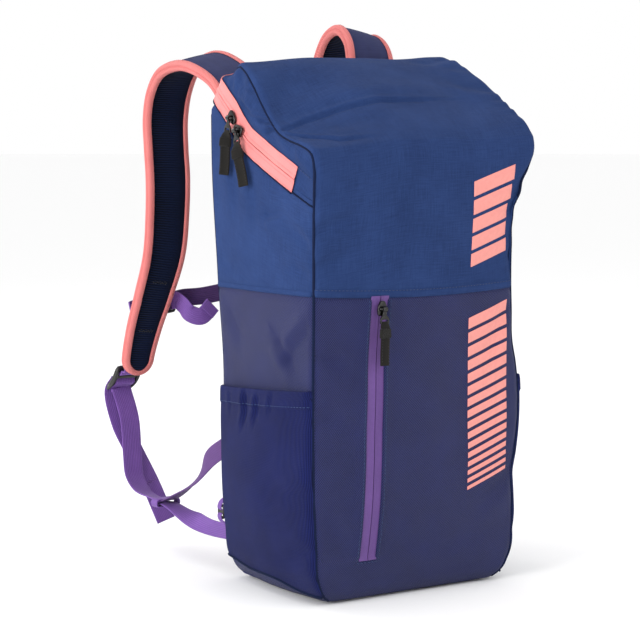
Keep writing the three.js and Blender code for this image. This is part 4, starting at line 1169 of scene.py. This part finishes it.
def slider(name, outward, twist=0.0):
    bar = joint_place(f"{name}_pull_lift")
    travel = joint_axis(f"{name}_run")
    outward = unit(np.array(outward, float) - np.dot(outward, travel) * travel)
    hang = middle(f"{name}_pull_tab") - bar
    hang = unit(hang - np.dot(hang, outward) * outward)
    right = np.cross(travel, outward)
    foot = bar - outward * BAR_Z
    ride, pull = f"{name}_slider", f"{name}_pull"

    # The body: a shield-shaped top plate on two wings.
    matrix = basis(right, travel, outward, foot + outward * 1.3)
    top = plate(f"{name}_slider_body", [SHIELD], 3.0, 1.0, BLACK_METAL, matrix)
    # The bail: a bar across the hang direction, on a cheek at each end.
    across = np.cross(hang, outward)
    line = np.array([foot + across * a + outward * o for a, o in BRIDGE])
    bail = tube(f"{name}_bail", evenly(spaced(line, 40), 40), 1.35, BLACK_METAL, 10, hint=hang)
    place(join(f"{name}_slider_shell", top, bail), ride, "black_metal", f"{name}_slider")

    # The link: an eye round the bar, a waist, and a frame that holds the tab.
    matrix = basis(across, -hang, np.cross(across, -hang), bar)
    slot_hole = rounded(7.4, 2.8, 1.0, 0, -12.3)
    flat = plate(f"{name}_link_flat", [LINK_FRAME, slot_hole], 1.9, 0.5, BLACK_METAL, matrix)
    turns = np.linspace(0, 2 * math.pi, 24, endpoint=False)
    ring = bar + np.outer(np.cos(turns), hang) * 2.2 + np.outer(np.sin(turns), outward) * 2.2
    eye_side, section = np.broadcast_to(across, ring.shape), slab(5.4, 1.5, 0.5, 1)
    eye = sweep(f"{name}_link_eye", ring, eye_side, unit(ring - bar), section, [BLACK_METAL], closed=True)
    place(join(f"{name}_link", flat, eye), pull, "black_metal", f"{name}_pull_link")

    # The tab: ribbed webbing folded through the link, which turns a little. A moulded collar is over
    # its fold.
    length = np.dot(middle(f"{name}_pull_tab") - bar, hang) * 2 - 2 * LINK
    reach = LINK - 2.4 + np.linspace(0, 1, 30) * (length + 2.4)
    turn = twist * smooth((reach - LINK + 2) / 9)[:, None]
    face = outward * np.cos(turn) - across * np.sin(turn)
    width = across * np.cos(turn) + outward * np.sin(turn)
    sway = 1.2 * smooth((reach - LINK) / 8) + 0.7 * np.sin(reach / 11)
    centre = bar + np.outer(reach, hang) + np.outer(sway, outward)
    scale = np.stack([lerp(7.0, 10.4, smooth((reach - LINK + 1) / 3)), np.ones(len(reach))], axis=1)
    section = slab(1, 1.1, 0.45)
    layers = [
        sweep(
            f"{name}_tab_layer_{off}", centre + face * off, width, face, section, [BLACK_WEBBING],
            scale=scale,
        )
        for off in (-0.62, 0.62)
    ]
    place(join(f"{name}_tab", *layers), pull, "black_webbing", f"{name}_pull_tab")
    fold_at = 8  # the step of the tab's line under the collar
    matrix = basis(width[fold_at], -hang, np.cross(width[fold_at], -hang), centre[fold_at])
    collar = plate(f"{name}_tab_collar", [COLLAR], 4.0, 1.2, BLACK_WEBBING, matrix)
    place(collar, pull, "black_webbing")
    for side, row in HANDS:
        line = (centre + width * side * 3.9 + face * 1.2)[10:28]
        bead = {"length": 2.0, "gap": 0.9, "width": 0.4, "lift": 0.1}
        sew(f"{name}_tab_stitches_{row}", line, face[10:28], BLACK_THREAD, "black_webbing", pull, **bead)


# ---- Side pockets -------------------------------------------------------------------------------
def pocket_hem(y):
    return np.interp(y, [-99, 92], [222, 210])


def pocket_out(hand, y, z):
    """How far a pocket stands off its wall."""
    front = front_edge_y(z) + 2
    u = np.clip((y - front) / (89 - front), 0, 1)
    v = np.clip((z - 24) / (pocket_hem(y) - 24), 0, 1)
    out = 2.2 + 9.5 * np.sin(math.pi * u) ** 0.55 * np.sin(math.pi / 2 * np.minimum(1, v * 2.2))
    out = out - 2.6 * smooth((v - 0.86) / 0.14) * np.sin(math.pi * u)
    out = out + slack(y + 40 * hand, z, 81, 0.9) * np.sin(math.pi * u)
    out = folded(out, y, z, (
        ([(20, 212), (16, 190), (30, 160)], 3.4, 4),
        ([(-8, 212), (-8, 192), (2, 170)], 3.0, 4),
        ([(-34, 214), (-33, 200), (-28, 186)], 1.2, 3.5),
        ([(56, 210), (54, 194), (58, 176)], 1.4, 4),
        ([(-88, 60), (-50, 44), (-6, 34)], 2.2, 8),
        ([(-90, 120), (-60, 112), (-30, 116)], 1.6, 9),
    ))
    return out


def side_pocket(hand, name):
    u = np.linspace(0, 1, 90)[None]
    v = np.linspace(0, 1, 80)[:, None]
    y_guess = lerp(-90, 89, u)
    foot = curve([(-90, 9), (-66, 10), (-20, 18), (45, 20), (89, 26)], y_guess)
    z = lerp(foot, pocket_hem(y_guess), v)
    y = lerp(front_edge_y(z) + 1.6, 89, u)
    grid = side_point(hand, y, z)
    grid[..., 0] += hand * pocket_out(hand, y, z)
    place(
        sheet(f"side_pocket_cloth_{name}", grid, 1.1, POCKET_CLOTH),
        "bag",
        "pocket_cloth",
        f"side_pocket_{name}",
    )
    # The hem is the cloth turned over on itself, so it is thicker and stands a little proud.
    down = np.concatenate([[0, 1.2], np.linspace(3, 16, 8), [17.5, 18.4]])[:, None]
    top = pocket_hem(y_guess) + 0.8
    z = top - down
    y = lerp(front_edge_y(z) + 1.8, 89.6, u)
    hem = side_point(hand, y, z)
    lift = np.interp(down, [0, 1.2, 5, 16, 18.4], [0.4, 1.2, 1.5, 1.2, 0.2]) + 0.5 * noise(y / 9, z / 30, 83)
    hem[..., 0] += hand * (pocket_out(hand, y, z) + lift)
    place(sheet(f"side_pocket_hem_{name}", hem, 2.4, POCKET_CLOTH), "bag", "pocket_cloth")
    line = hem[-3] + (hand * 0.1, 0, 0)
    place(stitches(f"side_pocket_stitches_{name}", line, (hand, 0, 0), LOWER_THREAD), "bag", "pocket_cloth")
    seam = grid[0] + (hand * 0.3, 0, 0)
    place(tube(f"side_pocket_foot_{name}", seam, 1.3, SEAM_CLOTH, 8), "bag", "pocket_cloth")


# ---- Back ---------------------------------------------------------------------------------------
def back_cloth():
    s = np.linspace(-1, 1, 81)[None]
    z = np.linspace(FOOT_Z, 519, 120)[:, None]
    half = side_x(1, BACK_Y - 7 + 0 * z, z) - 1.2
    x = s * half
    y = BACK_Y - 0.6 - 5 * smooth(1 - z / 40) - rolled(half - np.abs(x), 7)
    y = y + 0.25 * slack(x, z, 91) - 0.5 * smooth((z - 505) / 14)
    grid = np.stack(np.broadcast_arrays(x, y, z), axis=-1)
    place(sheet("back_cloth", grid, CLOTH, LOWER_CLOTH, LINING), "bag", "lower_cloth", "back_panel")


def soft_pad(name, width, height, thick, radius):
    """A stuffed pad, lying in X and Z with its back on y = 0: inflated by a cloth simulation."""
    s, t = np.meshgrid(np.linspace(-1, 1, 41), np.linspace(-1, 1, 41))
    corner = radius / np.array([width / 2, height / 2])

    def squared(a, b, r):
        """Pulls a square grid's corners in to a radius."""
        return a * (1 - r * np.abs(b) ** 6 * np.abs(a) ** 2 * 0.32)

    x = squared(s, t, corner[0]) * width / 2
    z = squared(t, s, corner[1]) * height / 2
    dome = (1 - s**6) ** 0.5 * (1 - t**6) ** 0.5
    grid = np.stack([x, 0.4 + thick * (0.25 + 0.6 * dome), z], axis=-1)
    pad = sheet(name, grid, thick * 0.7, STRAP_MESH, None, (0, -500, 0))
    bpy.context.view_layer.objects.active = pad
    remesh = pad.modifiers.new("remesh", "REMESH")
    remesh.mode = "VOXEL"
    remesh.voxel_size = 4 * MM
    bpy.ops.object.modifier_apply(modifier="remesh")
    start = np.array([v.co for v in pad.data.vertices])
    cloth = pad.modifiers.new("cloth", "CLOTH")
    cloth.settings.use_pressure = True
    cloth.settings.uniform_pressure_force = 4 * 0.6
    cloth.settings.effector_weights.gravity = 0
    for step in range(1, 21):
        bpy.context.scene.frame_set(step)
    bpy.ops.object.modifier_apply(modifier="cloth")
    bpy.context.scene.frame_set(1)
    moved = np.array([v.co for v in pad.data.vertices]) - start
    reach = np.linalg.norm(moved, axis=1, keepdims=True)
    limit = 4 * MM
    moved *= np.minimum(1, limit / np.maximum(reach, 1e-9))
    pad.data.vertices.foreach_set("co", (start + moved).ravel())
    finer = pad.modifiers.new("finer", "SUBSURF")
    finer.levels = 1
    bpy.ops.object.modifier_apply(modifier="finer")
    return pad


def back_pad(name, channels):
    low, high = box(name)
    size, where = high - low, (low + high) / 2
    pad = soft_pad(f"{name}_cushion", size[0] - 6, size[2] - 6, size[1], 16)
    co = np.array([v.co for v in pad.data.vertices]) / MM
    front = smooth((co[:, 1] - 1.5) / 3)
    for kind, at in channels:
        along = co[:, 2] - at if kind == "level" else co[:, 0] - at
        co[:, 1] -= front * 3.2 * np.exp(-((along / 2.6) ** 2))
    co[:, 1] = np.clip(co[:, 1], 0.3, size[1] + 4)
    co += (where[0], low[1], where[2])
    pad.data.vertices.foreach_set("co", (co * MM).ravel())
    if not pad.data.uv_layers:
        pad.data.uv_layers.new(name="UVMap")
    corners = np.empty(len(pad.data.loops), int)
    pad.data.loops.foreach_get("vertex_index", corners)
    pad.data.uv_layers[0].data.foreach_set("uv", (co[:, [0, 2]] * MM)[corners].ravel())
    pad.data.polygons.foreach_set("use_smooth", [True] * len(pad.data.polygons))
    place(pad, "bag", "strap_mesh", name)
    outline = rounded(size[0] - 3, size[2] - 3, 15, where[0], where[2], 8)
    line = np.array([(x, low[1] + 1.2, z) for x, z in outline])
    line = evenly(np.vstack([line, line[:1]]), 160)[:-1]
    along = unit(np.roll(line, -1, axis=0) - np.roll(line, 1, axis=0))
    side = unit(np.cross(along, (0, 1, 0)))
    binding = sweep(
        f"{name}_edge",
        line,
        side,
        np.broadcast_to((0.0, 1.0, 0.0), line.shape),
        slab(5.5, 2.6, 1.2, 2),
        [SEAM_CLOTH],
        closed=True,
    )
    place(binding, "bag", "strap_mesh")


def yoke():
    """The sewn panel that both shoulder straps and the haul loop come out of."""
    s, t = np.meshgrid(np.linspace(-1, 1, 110), np.linspace(0, 1, 41))
    low, high = box("strap_yoke")
    z = lerp(low[2] - 4, high[2] + 16, t)
    x = s * (high[0] - 2 * t)
    dome = (1 - s**8) * np.sin(math.pi * np.clip(t, 0.02, 0.98)) ** 0.4
    y = BACK_Y + 0.4 + 5.4 * dome + 0.4 * noise(x / 14 + 20, z / 9, 95)
    # It bulges over the roots of the two straps, which are sewn in under it.
    over_root = sum(smooth((37 - np.abs(x - at)) / 7) for at in (-86, 79))
    y = y + 13 * over_root * smooth((z - low[2] + 4) / 6) * smooth((510 - z) / 9)
    place(
        sheet("strap_yoke_cloth", np.stack([x, y, z], axis=-1), 1.6, UPPER_CLOTH, None, (0, 0, 480)),
        "bag",
        "upper_cloth",
        "strap_yoke",
    )
    for k, share in enumerate((0.2, 0.8)):
        row = int(share * 40)
        line = np.stack([x[row], y[row] + 0.1, z[row]], axis=1)
        place(stitches(f"yoke_stitches_{k}", line, (0, 1, 0), BLUE_THREAD), "bag", "upper_cloth")


def haul_loop():
    low, high = box("haul_loop")
    reach = high[1] - 2.4
    side = [
        (high[0] - 3, BACK_Y + 3.6, low[2] - 6),
        (high[0] - 3, BACK_Y + 4.5, 515),
        (26, BACK_Y + 13.5, 528),
    ]
    points = [(-x, y, z) for x, y, z in side] + [(0, reach, 534)] + side[::-1]
    line = spaced(points, 70)
    loop = band("haul_loop_webbing", line, 20, 2.6, BLACK_WEBBING, (0, -0.55, 0.83))
    place(loop, "bag", "black_webbing", "haul_loop")
    grip = line[22:49]
    _, across, up = frames(grip, (0, -0.55, 0.83))
    place(sweep("haul_loop_grip", grip, across, up, oval(15, 8, 16), [SEAM_CLOTH]), "bag", "black_webbing")


def insides():
    for node in ("frame_sheet", "base_board"):
        cad = frame["nodes"][node]
        cad.data.materials.clear()
        cad.data.materials.append(BOARD)
    for node, material, bow, cloth in (
        ("racket_divider", LINING, 5, 2.6), ("front_pocket_lining", LINING, 2, 1.0),
    ):
        low, high = box(node)
        s, t = np.meshgrid(np.linspace(-1, 1, 60), np.linspace(0, 1, 60))
        x, z = s * (high[0] - 8 * smooth(1 - t * 5)), lerp(low[2], high[2] - 3 * (1 - s**2), t)
        y = (low[1] + high[1]) / 2 + bow * 0.5 * (s**2 - 1) * t + slack(x, z, 101, 0.6)
        piece = sheet(f"{node}_cloth", np.stack([x, y, z], axis=-1), cloth, material, None, (0, 400, 200))
        place(piece, "bag", "lining", node)
        edge = np.stack([x[-1], y[-1] + cloth / 2, z[-1] + 0.5], axis=1)
        place(tube(f"{node}_binding", edge, 2.2, SEAM_CLOTH, 8), "bag", "lining")


# ---- Shoulder straps ----------------------------------------------------------------------------
# Down each strap: centre x, y, z, width, and how far its outer edge lies below its inner one.
LEFT_STRAP = [
    (-86, 103, 489, 60, 0),
    (-87, 105, 506, 60, 3),
    (-89, 124, 534, 60, 8),
    (-91, 160, 553, 60, 12),
    (-93, 197, 560, 59, 14),
    (-95, 233, 550, 58, 10),
    (-96, 253, 526, 57, 5),
    (-97, 260, 496, 56, 2),
    (-98, 257, 462, 55, 0),
    (-99, 252, 430, 55, 0),
    (-101, 250, 390, 54, 0),
    (-107, 248, 342, 52, 0),
    (-114, 261, 294, 48, 0),
    (-118, 275, 258, 44, 0),
    (-121, 284, 226, 40, 0),
    (-123, 287, 200, 37, 0),
]
RIGHT_STRAP = [
    (80, 103, 489, 60, 0),
    (79, 103, 520, 62, 3),
    (78, 104, 552, 62, 8),
    (78, 112, 577, 61, 11),
    (78, 130, 590, 60, 12),
    (79, 153, 585, 59, 11),
    (81, 174, 565, 58, 8),
    (83, 189, 534, 57, 5),
    (86, 198, 496, 56, 2),
    (89, 202, 450, 55, 0),
    (92, 205, 402, 54, 0),
    (95, 209, 352, 52, 0),
    (99, 217, 306, 48, 0),
    (103, 229, 264, 44, 0),
    (106, 237, 232, 40, 0),
    (108, 240, 206, 37, 0),
]
STRAP_STEPS = 150
STRAP_HALF = 5.2  # half the foam's thickness
LIP = 4.4  # the binding's reach over each face
ROLL = 2.6  # how far the bound edge stands out sideways from the foam


def strap_frames(rows, hand):
    line = spaced(rows, STRAP_STEPS)
    centre, width, drop = line[:, :3], line[:, 3], line[:, 4]
    across = np.stack([np.ones(len(line)), np.zeros(len(line)), -hand * drop / width], axis=1)
    along, side, _ = frames(centre, across)
    return centre, along, side, np.cross(side, along), width


def shoulder_strap(name, rows, hand):
    centre, along, side, normal, width = strap_frames(rows, hand)
    half = width / 2 - ROLL
    end = len(centre) - 1
    while np.linalg.norm(centre[end] - centre[-1]) < half[-1] + ROLL:
        end -= 1
    # The foam: its section follows the width, and shrinks round the tip.
    left = np.linalg.norm(centre - centre[end], axis=1) * (np.arange(len(centre)) > end)
    tip = np.sqrt(np.clip(1 - (left / (half[end] + 0.5)) ** 2, 0.02, 1))
    keep = left < half[end] + 0.4
    upper_half = [
        (-1, 0), (-0.97, 0.55), (-0.8, 0.82), (-0.4, 0.97), (0, 1), (0.4, 0.97), (0.8, 0.82), (0.97, 0.55),
    ]
    section = np.array([(x, -y) for x, y in upper_half] + [(-x, y) for x, y in upper_half])
    segments = [1] * 8 + [0] * 8
    scale = np.stack([half * tip, np.full(len(half), STRAP_HALF)], axis=1)[keep]
    foam = sweep(
        f"strap_pad_{name}",
        centre[keep],
        side[keep],
        normal[keep],
        section,
        [STRAP_CLOTH, STRAP_MESH],
        scale=scale,
        segment_materials=segments,
    )
    place(foam, "straps", "strap_mesh", f"shoulder_strap_{name}")

    # The binding folds over both faces' edges, round the tip: sewn down in a groove between lip and roll.
    turns = np.linspace(0, math.pi, 25)[1:-1]
    tip_out = -np.outer(np.cos(turns), side[end]) + np.outer(np.sin(turns), along[end])
    first = 3
    sewn = slice(first, end + 1)
    outwards = side[sewn] * half[sewn, None]
    round_tip = centre[end] + tip_out * half[end]
    path = np.vstack([centre[sewn] - outwards, round_tip, (centre[sewn] + outwards)[::-1]])
    out = np.vstack([-side[sewn], tip_out, side[sewn][::-1]])
    face = np.vstack([normal[sewn], np.repeat(normal[end : end + 1], len(turns), axis=0), normal[sewn][::-1]])
    outer = [
        (-LIP, 4.9), (-LIP + 0.9, 5.9), (-1.6, 6.1), (0.6, 5.5), (2.1, 4.1), (ROLL, 2.3), (1.9, 0.8),
        (1.0, 0.2),
    ]
    inner = [(0.2, 1.4), (-0.4, 3.4), (-2.0, 4.4), (-LIP, 4.2)]
    half_loop = outer + [(x, -y) for x, y in outer[::-1]]
    section = half_loop + [(x, -y) for x, y in inner[::-1]] + inner
    binding = sweep(f"strap_binding_tape_{name}", path, out, face, section, [PINK_BINDING])
    place(binding, "straps", "pink_binding", f"strap_binding_{name}")
    for face_name, sign in (("outer", 1), ("inner", -1)):
        line = path - out * (LIP - 1.7) + face * sign * 5.9
        row = stitches(f"strap_stitches_{name}_{face_name}", line, face * sign, PINK_THREAD, 2.6, 1.0, 0.5)
        place(row, "straps", "pink_binding")
    return centre, along, side, normal, end


def bar_tack(name, centre, side, along, normal, width, thread):
    """A block of close zigzag stitches."""
    corners = []
    for k in range(int(width / 1.6) + 1):
        corners.append(centre + side * (k * 1.6 - width / 2) + along * (1.6 if k % 2 else -1.6))
    return place(
        stitches(name, np.array(corners), normal, thread, 2.6, 0.1, 0.6, 0.3), "straps", "purple_webbing",
    )


# ---- Ladder locks and lower webbing -------------------------------------------------------------
WEBBING = 25
WEBBING_THICK = 1.7
SWING = ("straps", "bag")
LOCK_FRAME = mirrored([
    (-11, 19), (-14.5, 18.2), (-16.5, 15), (-17.2, 4), (-17.2, -8), (-16.2, -15.5), (-13.6, -18.4), (
        -6, -19.4,
    ),
])
LOCK_BEND = 0.012  # how much the lock's frame curves, per millimetre


def strap_hardware(name, hand, strap):
    centre, along, side, normal, end = strap
    lock = f"ladder_lock_{name}"
    where, bar = middle(lock), joint_place(f"{lock}_tilt")
    down = unit((where - bar) * (0, 1, 1))
    across = np.array([1.0, 0, 0])
    out = np.cross(across, -down)
    matrix = basis(across, -down, out, where)
    holes = [rounded(26, 4.8, 1.6, 0, y) for y in (10.5, 1, -9)]
    body = plate(f"{lock}_body", [LOCK_FRAME, *holes], 3.8, 1.0, BLACK_PLASTIC, matrix, bend=LOCK_BEND)
    ribs = []
    for sign in (-1, 1):
        reach = np.linspace(-17, 17, 24)
        line = where + across * sign * 15 - np.outer(reach, down) + np.outer(2.2 - LOCK_BEND * reach**2, out)
        ribs.append(tube(f"{lock}_rail_{sign}", line, 1.9, BLACK_PLASTIC, 10))
    place(join(f"{lock}_frame", body, *ribs), lock, "black_plastic", lock)

    # A short tab holds the lock's bar to the strap's outer face.
    first = end - 30
    tab = centre[first : end + 6] + normal[first : end + 6] * (STRAP_HALF + 2.1)
    loop = np.array([
        tab[-1],
        lerp(tab[-1], bar, 0.7) + normal[end] * 1.0,
        bar + out * 3.2,
        bar + down * 4 + out * 1.5,
        bar + down * 3.4 - out * 3.0,
    ])
    line = np.vstack([tab, spaced(loop, 20)[1:]])
    place(
        band(
            f"lock_tab_webbing_{name}", evenly(line, 60), WEBBING - 1, WEBBING_THICK, PURPLE_WEBBING, across,
        ),
        "straps",
        "purple_webbing",
        f"lock_tab_{name}",
    )
    for k, at in enumerate((first + 3, first + 20)):
        tack = centre[at] + normal[at] * (STRAP_HALF + 3.0)
        bar_tack(f"lock_tab_tack_{name}_{k}", tack, side[at], along[at], normal[at], 20, thread=PURPLE_THREAD)
        tack = centre[at] - normal[at] * (STRAP_HALF + 0.1)
        bar_tack(
            f"lock_tab_tack_inner_{name}_{k}",
            tack,
            side[at],
            along[at],
            -normal[at],
            20,
            thread=BLACK_THREAD,
        )

    # The webbing comes down from the lock to a keeper, where the bag's two anchor webbings meet it.
    foot = bar + down * 28
    keeper = middle(f"webbing_keeper_{name}")
    thread = [bar + down * 12 - out * 1.2, bar + down * 16 + out * 3.2, bar + down * 21 + out * 2.4, foot]
    threaded = spaced(thread + [foot + (0, -0.5, -6)], 24)
    piece = band(f"threaded_webbing_{name}", threaded, WEBBING, WEBBING_THICK, PURPLE_WEBBING, across)
    place(piece, (lock, "straps", (bar + down * 14) * MM, foot * MM), "purple_webbing")
    run = [foot, foot + (-hand * 7, -8, -38), foot + (-hand * 8, -12, -80), foot + (-hand * 8, -17, -104),
           foot + (-hand * 9, -34, -119), keeper + (0, 15, 1), keeper + (0, -4, 0)]
    line = spaced(run, 90)
    piece = band(
        f"webbing_run_{name}", line, WEBBING, WEBBING_THICK, PURPLE_WEBBING, across, (1, 0, hand * 0.25),
    )
    swing = (*SWING, foot * MM, (keeper + (0, 30, 0)) * MM)
    place(piece, swing, "purple_webbing", f"strap_webbing_{name}")
    tail = [
        foot + (0, 1.5, 10),
        foot + (hand * 4, 9, -4),
        foot + (-hand * 3, 7, -42),
        foot + (-hand * 14, 2, -70),
        foot + (-hand * 29, -14, -112),
        foot + (-hand * 42, -31, -158),
    ]
    line = spaced(tail, 90)
    piece = band(f"webbing_tail_end_{name}", line, WEBBING, WEBBING_THICK, PURPLE_WEBBING, across)
    place(
        piece,
        (lock, "straps", foot * MM, (foot + (0, 0, -50)) * MM),
        "purple_webbing",
        f"webbing_tail_{name}",
    )
    at = 66
    lines, sides, ups = frames(line, across)
    bar_tack(
        f"webbing_tail_tack_{name}",
        line[at] + ups[at] * 1.0,
        sides[at],
        lines[at],
        ups[at],
        22,
        thread=PURPLE_THREAD,
    )

    # The keeper: a band of webbing sewn round the others.
    ring = rounded(30, 8.5, 3.6, 0, 0, 7)
    line = np.array([keeper + (x, 0, z) for x, z in ring])
    loop_along = unit(np.roll(line, -1, axis=0) - np.roll(line, 1, axis=0))
    ring_side = np.broadcast_to((0.0, 1.0, 0.0), line.shape)
    piece = sweep(
        f"keeper_loop_{name}",
        line,
        ring_side,
        np.cross(loop_along, ring_side),
        slab(13, 1.7, 0.8),
        [PURPLE_WEBBING],
        closed=True,
    )
    place(piece, "bag", "purple_webbing", f"webbing_keeper_{name}")
    anchors = {
        "lower": [
            keeper + (0, 6, -1.5),
            keeper + (0, -8, -1),
            (hand * 115, 181, 51),
            (hand * 118, 130, 48),
            (hand * 118, BACK_Y + 0.5, 49),
        ],
        "upper": [
            keeper + (0, 6, 1.5),
            keeper + (0, -8, 4),
            (hand * 114, 167, 96),
            (hand * 116, 135, 124),
            (hand * 118, BACK_Y + 0.5, 145),
        ],
    }
    for part, points in anchors.items():
        line = spaced(points, 70)
        cloth = PURPLE_WEBBING if part == "lower" else SHADED_WEBBING
        piece = band(
            f"anchor_{part}_{name}", line, 20, WEBBING_THICK, cloth, across, (hand * 0.3, 0, -0.95 * hand),
        )
        place(piece, "bag", "purple_webbing", f"anchor_webbing_{part}_{name}")


def spare_glide(name, hand):
    """A small adjuster on a short loop of webbing, sewn into the back seam by the foot."""
    top, foot = np.array([hand * 123, BACK_Y - 2, 88]), np.array([hand * 123, BACK_Y - 1, 58])
    middle_point = np.array([hand * 126, BACK_Y + 4, 72])
    matrix = basis((0, 1, 0), (0, 0, 1), (1, 0, 0), middle_point)
    holes = [rounded(8, 2.6, 1, 0, y) for y in (-3.6, 3.6)]
    place(
        plate(f"spare_glide_{name}", [rounded(12, 16, 3), *holes], 2.8, 0.8, BLACK_PLASTIC, matrix),
        "bag",
        "black_plastic",
    )
    for part, end in (("upper", top), ("lower", foot)):
        near = middle_point + (end - middle_point) * (0, 0, 0.25)
        line = spaced(
            [
                end,
                lerp(end, near, 0.5) + (hand * 3, 2, 0),
                near + (hand * 2.4, 0, 0),
                middle_point + (-hand * 2, 0, 0),
            ],
            24,
        )
        piece = band(f"spare_loop_{part}_{name}", line, 7.5, 1.4, PURPLE_WEBBING, (0, 1, 0))
        place(piece, "bag", "purple_webbing")


# ---- Chest strap --------------------------------------------------------------------------------
def chest_strap():
    along = joint_axis("chest_buckle_release")
    left, right = np.array([-120.0, 290, 279]), np.array([68.0, 218, 320])
    up = unit(np.array([0, 0, 1.0]) - along[2] * along)
    out = np.cross(along, up)

    def at(x, z=0.0, drop=0.0):
        return left + along * x + out * z - np.array([0, 0, drop])

    matrix = basis(along, up, out, left)
    upper_edge = [(0, 11), (1.6, 13.4), (10, 14), (16, 12.4), (22, 12.8), (26, 13.6), (26, 9.5)]
    shell = upper_edge + [(x, -y) for x, y in upper_edge[::-1]]
    body = plate("chest_buckle_body", [shell, rounded(4, 18, 1.2, 4, 0)], 8.4, 1.6, BLACK_PLASTIC, matrix)
    crest = plate("chest_buckle_crest", [rounded(12, 12, 3, 16, 0)], 10, 1.4, BLACK_PLASTIC, matrix)
    place(join("chest_buckle_socket", body, crest), "straps", "black_plastic", "chest_buckle_female")
    frame_outline = [
        (26.6, 12), (28.4, 13.8), (42, 13.8), (44.2, 11.6), (44.2, -11.6), (42, -13.8), (28.4, -13.8),
        (26.6, -12),
    ]
    holes = [rounded(4.2, 21, 1.2, 33.2, 0), rounded(4.2, 21, 1.2, 39.8, 0)]
    male = plate("chest_buckle_frame", [frame_outline, *holes], 6.4, 1.4, BLACK_PLASTIC, matrix)
    prongs = [
        plate(f"chest_prong_{k}", [rounded(18, width, 1.4, 18, y)], 3.4, 0.8, BLACK_PLASTIC, matrix)
        for k, (y, width) in enumerate(((-8.5, 3.2), (0, 4.2), (8.5, 3.2)))
    ]
    place(join("chest_buckle_plug", male, *prongs), "chest_buckle_male", "black_plastic", "chest_buckle_male")
    tab = spaced([at(4, 0), at(-2, 1), at(-7, 6), at(-9, 14), at(-9, 19)], 24)
    place(
        band("chest_tab_webbing", tab, 20, 1.5, PURPLE_WEBBING, up), "straps", "purple_webbing", "chest_tab",
    )
    length = np.linalg.norm(right - left)
    main = spaced([at(37, 4.6), at(46, 2), at(56, 0), at(80, 0, 3), at(length - 34, 0, 2), at(length, 0)], 70)
    # The band takes the darker copy of the webbing: painted shade. The tab and the free end keep the plain
    # purple.
    piece = band("chest_webbing_band", main, 20, 1.5, SHADE_PAINTED_WEBBING, up)
    place(
        piece,
        ("chest_buckle_male", "straps", at(50) * MM, at(length - 20) * MM),
        "purple_webbing",
        "chest_webbing",
    )
    tail = spaced(
        [at(37, -2), at(41, 5), at(46, 9), at(53, 14, 7), at(61, 18, 18), at(74, 19, 24), at(88, 16, 14)], 60,
    )
    piece = band("chest_webbing_free_end", tail, 20, 1.5, PURPLE_WEBBING, up)
    place(piece, "chest_buckle_male", "purple_webbing", "chest_webbing_tail")
    fold_over = tail[50:] + frames(tail, up)[2][50:] * 1.5
    place(
        band("chest_webbing_hem", fold_over, 20, 1.4, PURPLE_WEBBING, up),
        "chest_buckle_male",
        "purple_webbing",
    )


# ---- Print --------------------------------------------------------------------------------------
def print_bars():
    """A plain decoration down the front's right: slanted bars that get thinner downwards."""
    low = 434.0
    for k in range(24):
        thick = 15.5 - 0.52 * k
        low -= thick + 4.2
        if low < 78:
            break
        if low - 2 < SEAM_Z + 6 and low + thick + 20 > SEAM_Z - 6:
            continue
        s, t = np.meshgrid(np.linspace(0, 1, 24), np.linspace(0, 1, 8))
        x = lerp(60, min(115, corner_x(1, low + 15) - 12), s)
        z = low + t * thick + 0.32 * (x - 60)
        grid = np.stack([x, front_face(x, z) - 0.45, z], axis=-1)
        cloth = "upper_cloth" if low > SEAM_Z else "lower_cloth"
        place(sheet(f"print_bar_{k:02d}", grid, 0.5, CORAL_PRINT, None, (0, 200, 250)), "bag", cloth)


# ---- Assembly -----------------------------------------------------------------------------------
studio()
front_lower()
upper_cloth()
sides()
piping()
base()
gusset()
main_zipper()
front_zipper()
slider("main_zip_rear", (-1, 0, 0), 0.75)
slider("main_zip_front", (-1, 0, 0), 0.65)
slider("front_zip", (0, -1, 0))
side_pocket(-1, "left")
side_pocket(1, "right")
back_cloth()
back_pad("back_pad_left", [("level", -92), ("level", -32), ("level", 28), ("level", 88)])
back_pad("back_pad_right", [("level", -92), ("level", -32), ("level", 28), ("level", 88)])
back_pad("lumbar_pad", [("upright", -36), ("upright", 36)])
yoke()
haul_loop()
insides()
strap_hardware("left", -1, shoulder_strap("left", LEFT_STRAP, -1))
strap_hardware("right", 1, shoulder_strap("right", RIGHT_STRAP, 1))
spare_glide("left", -1)
spare_glide("right", 1)
chest_strap()
print_bars()
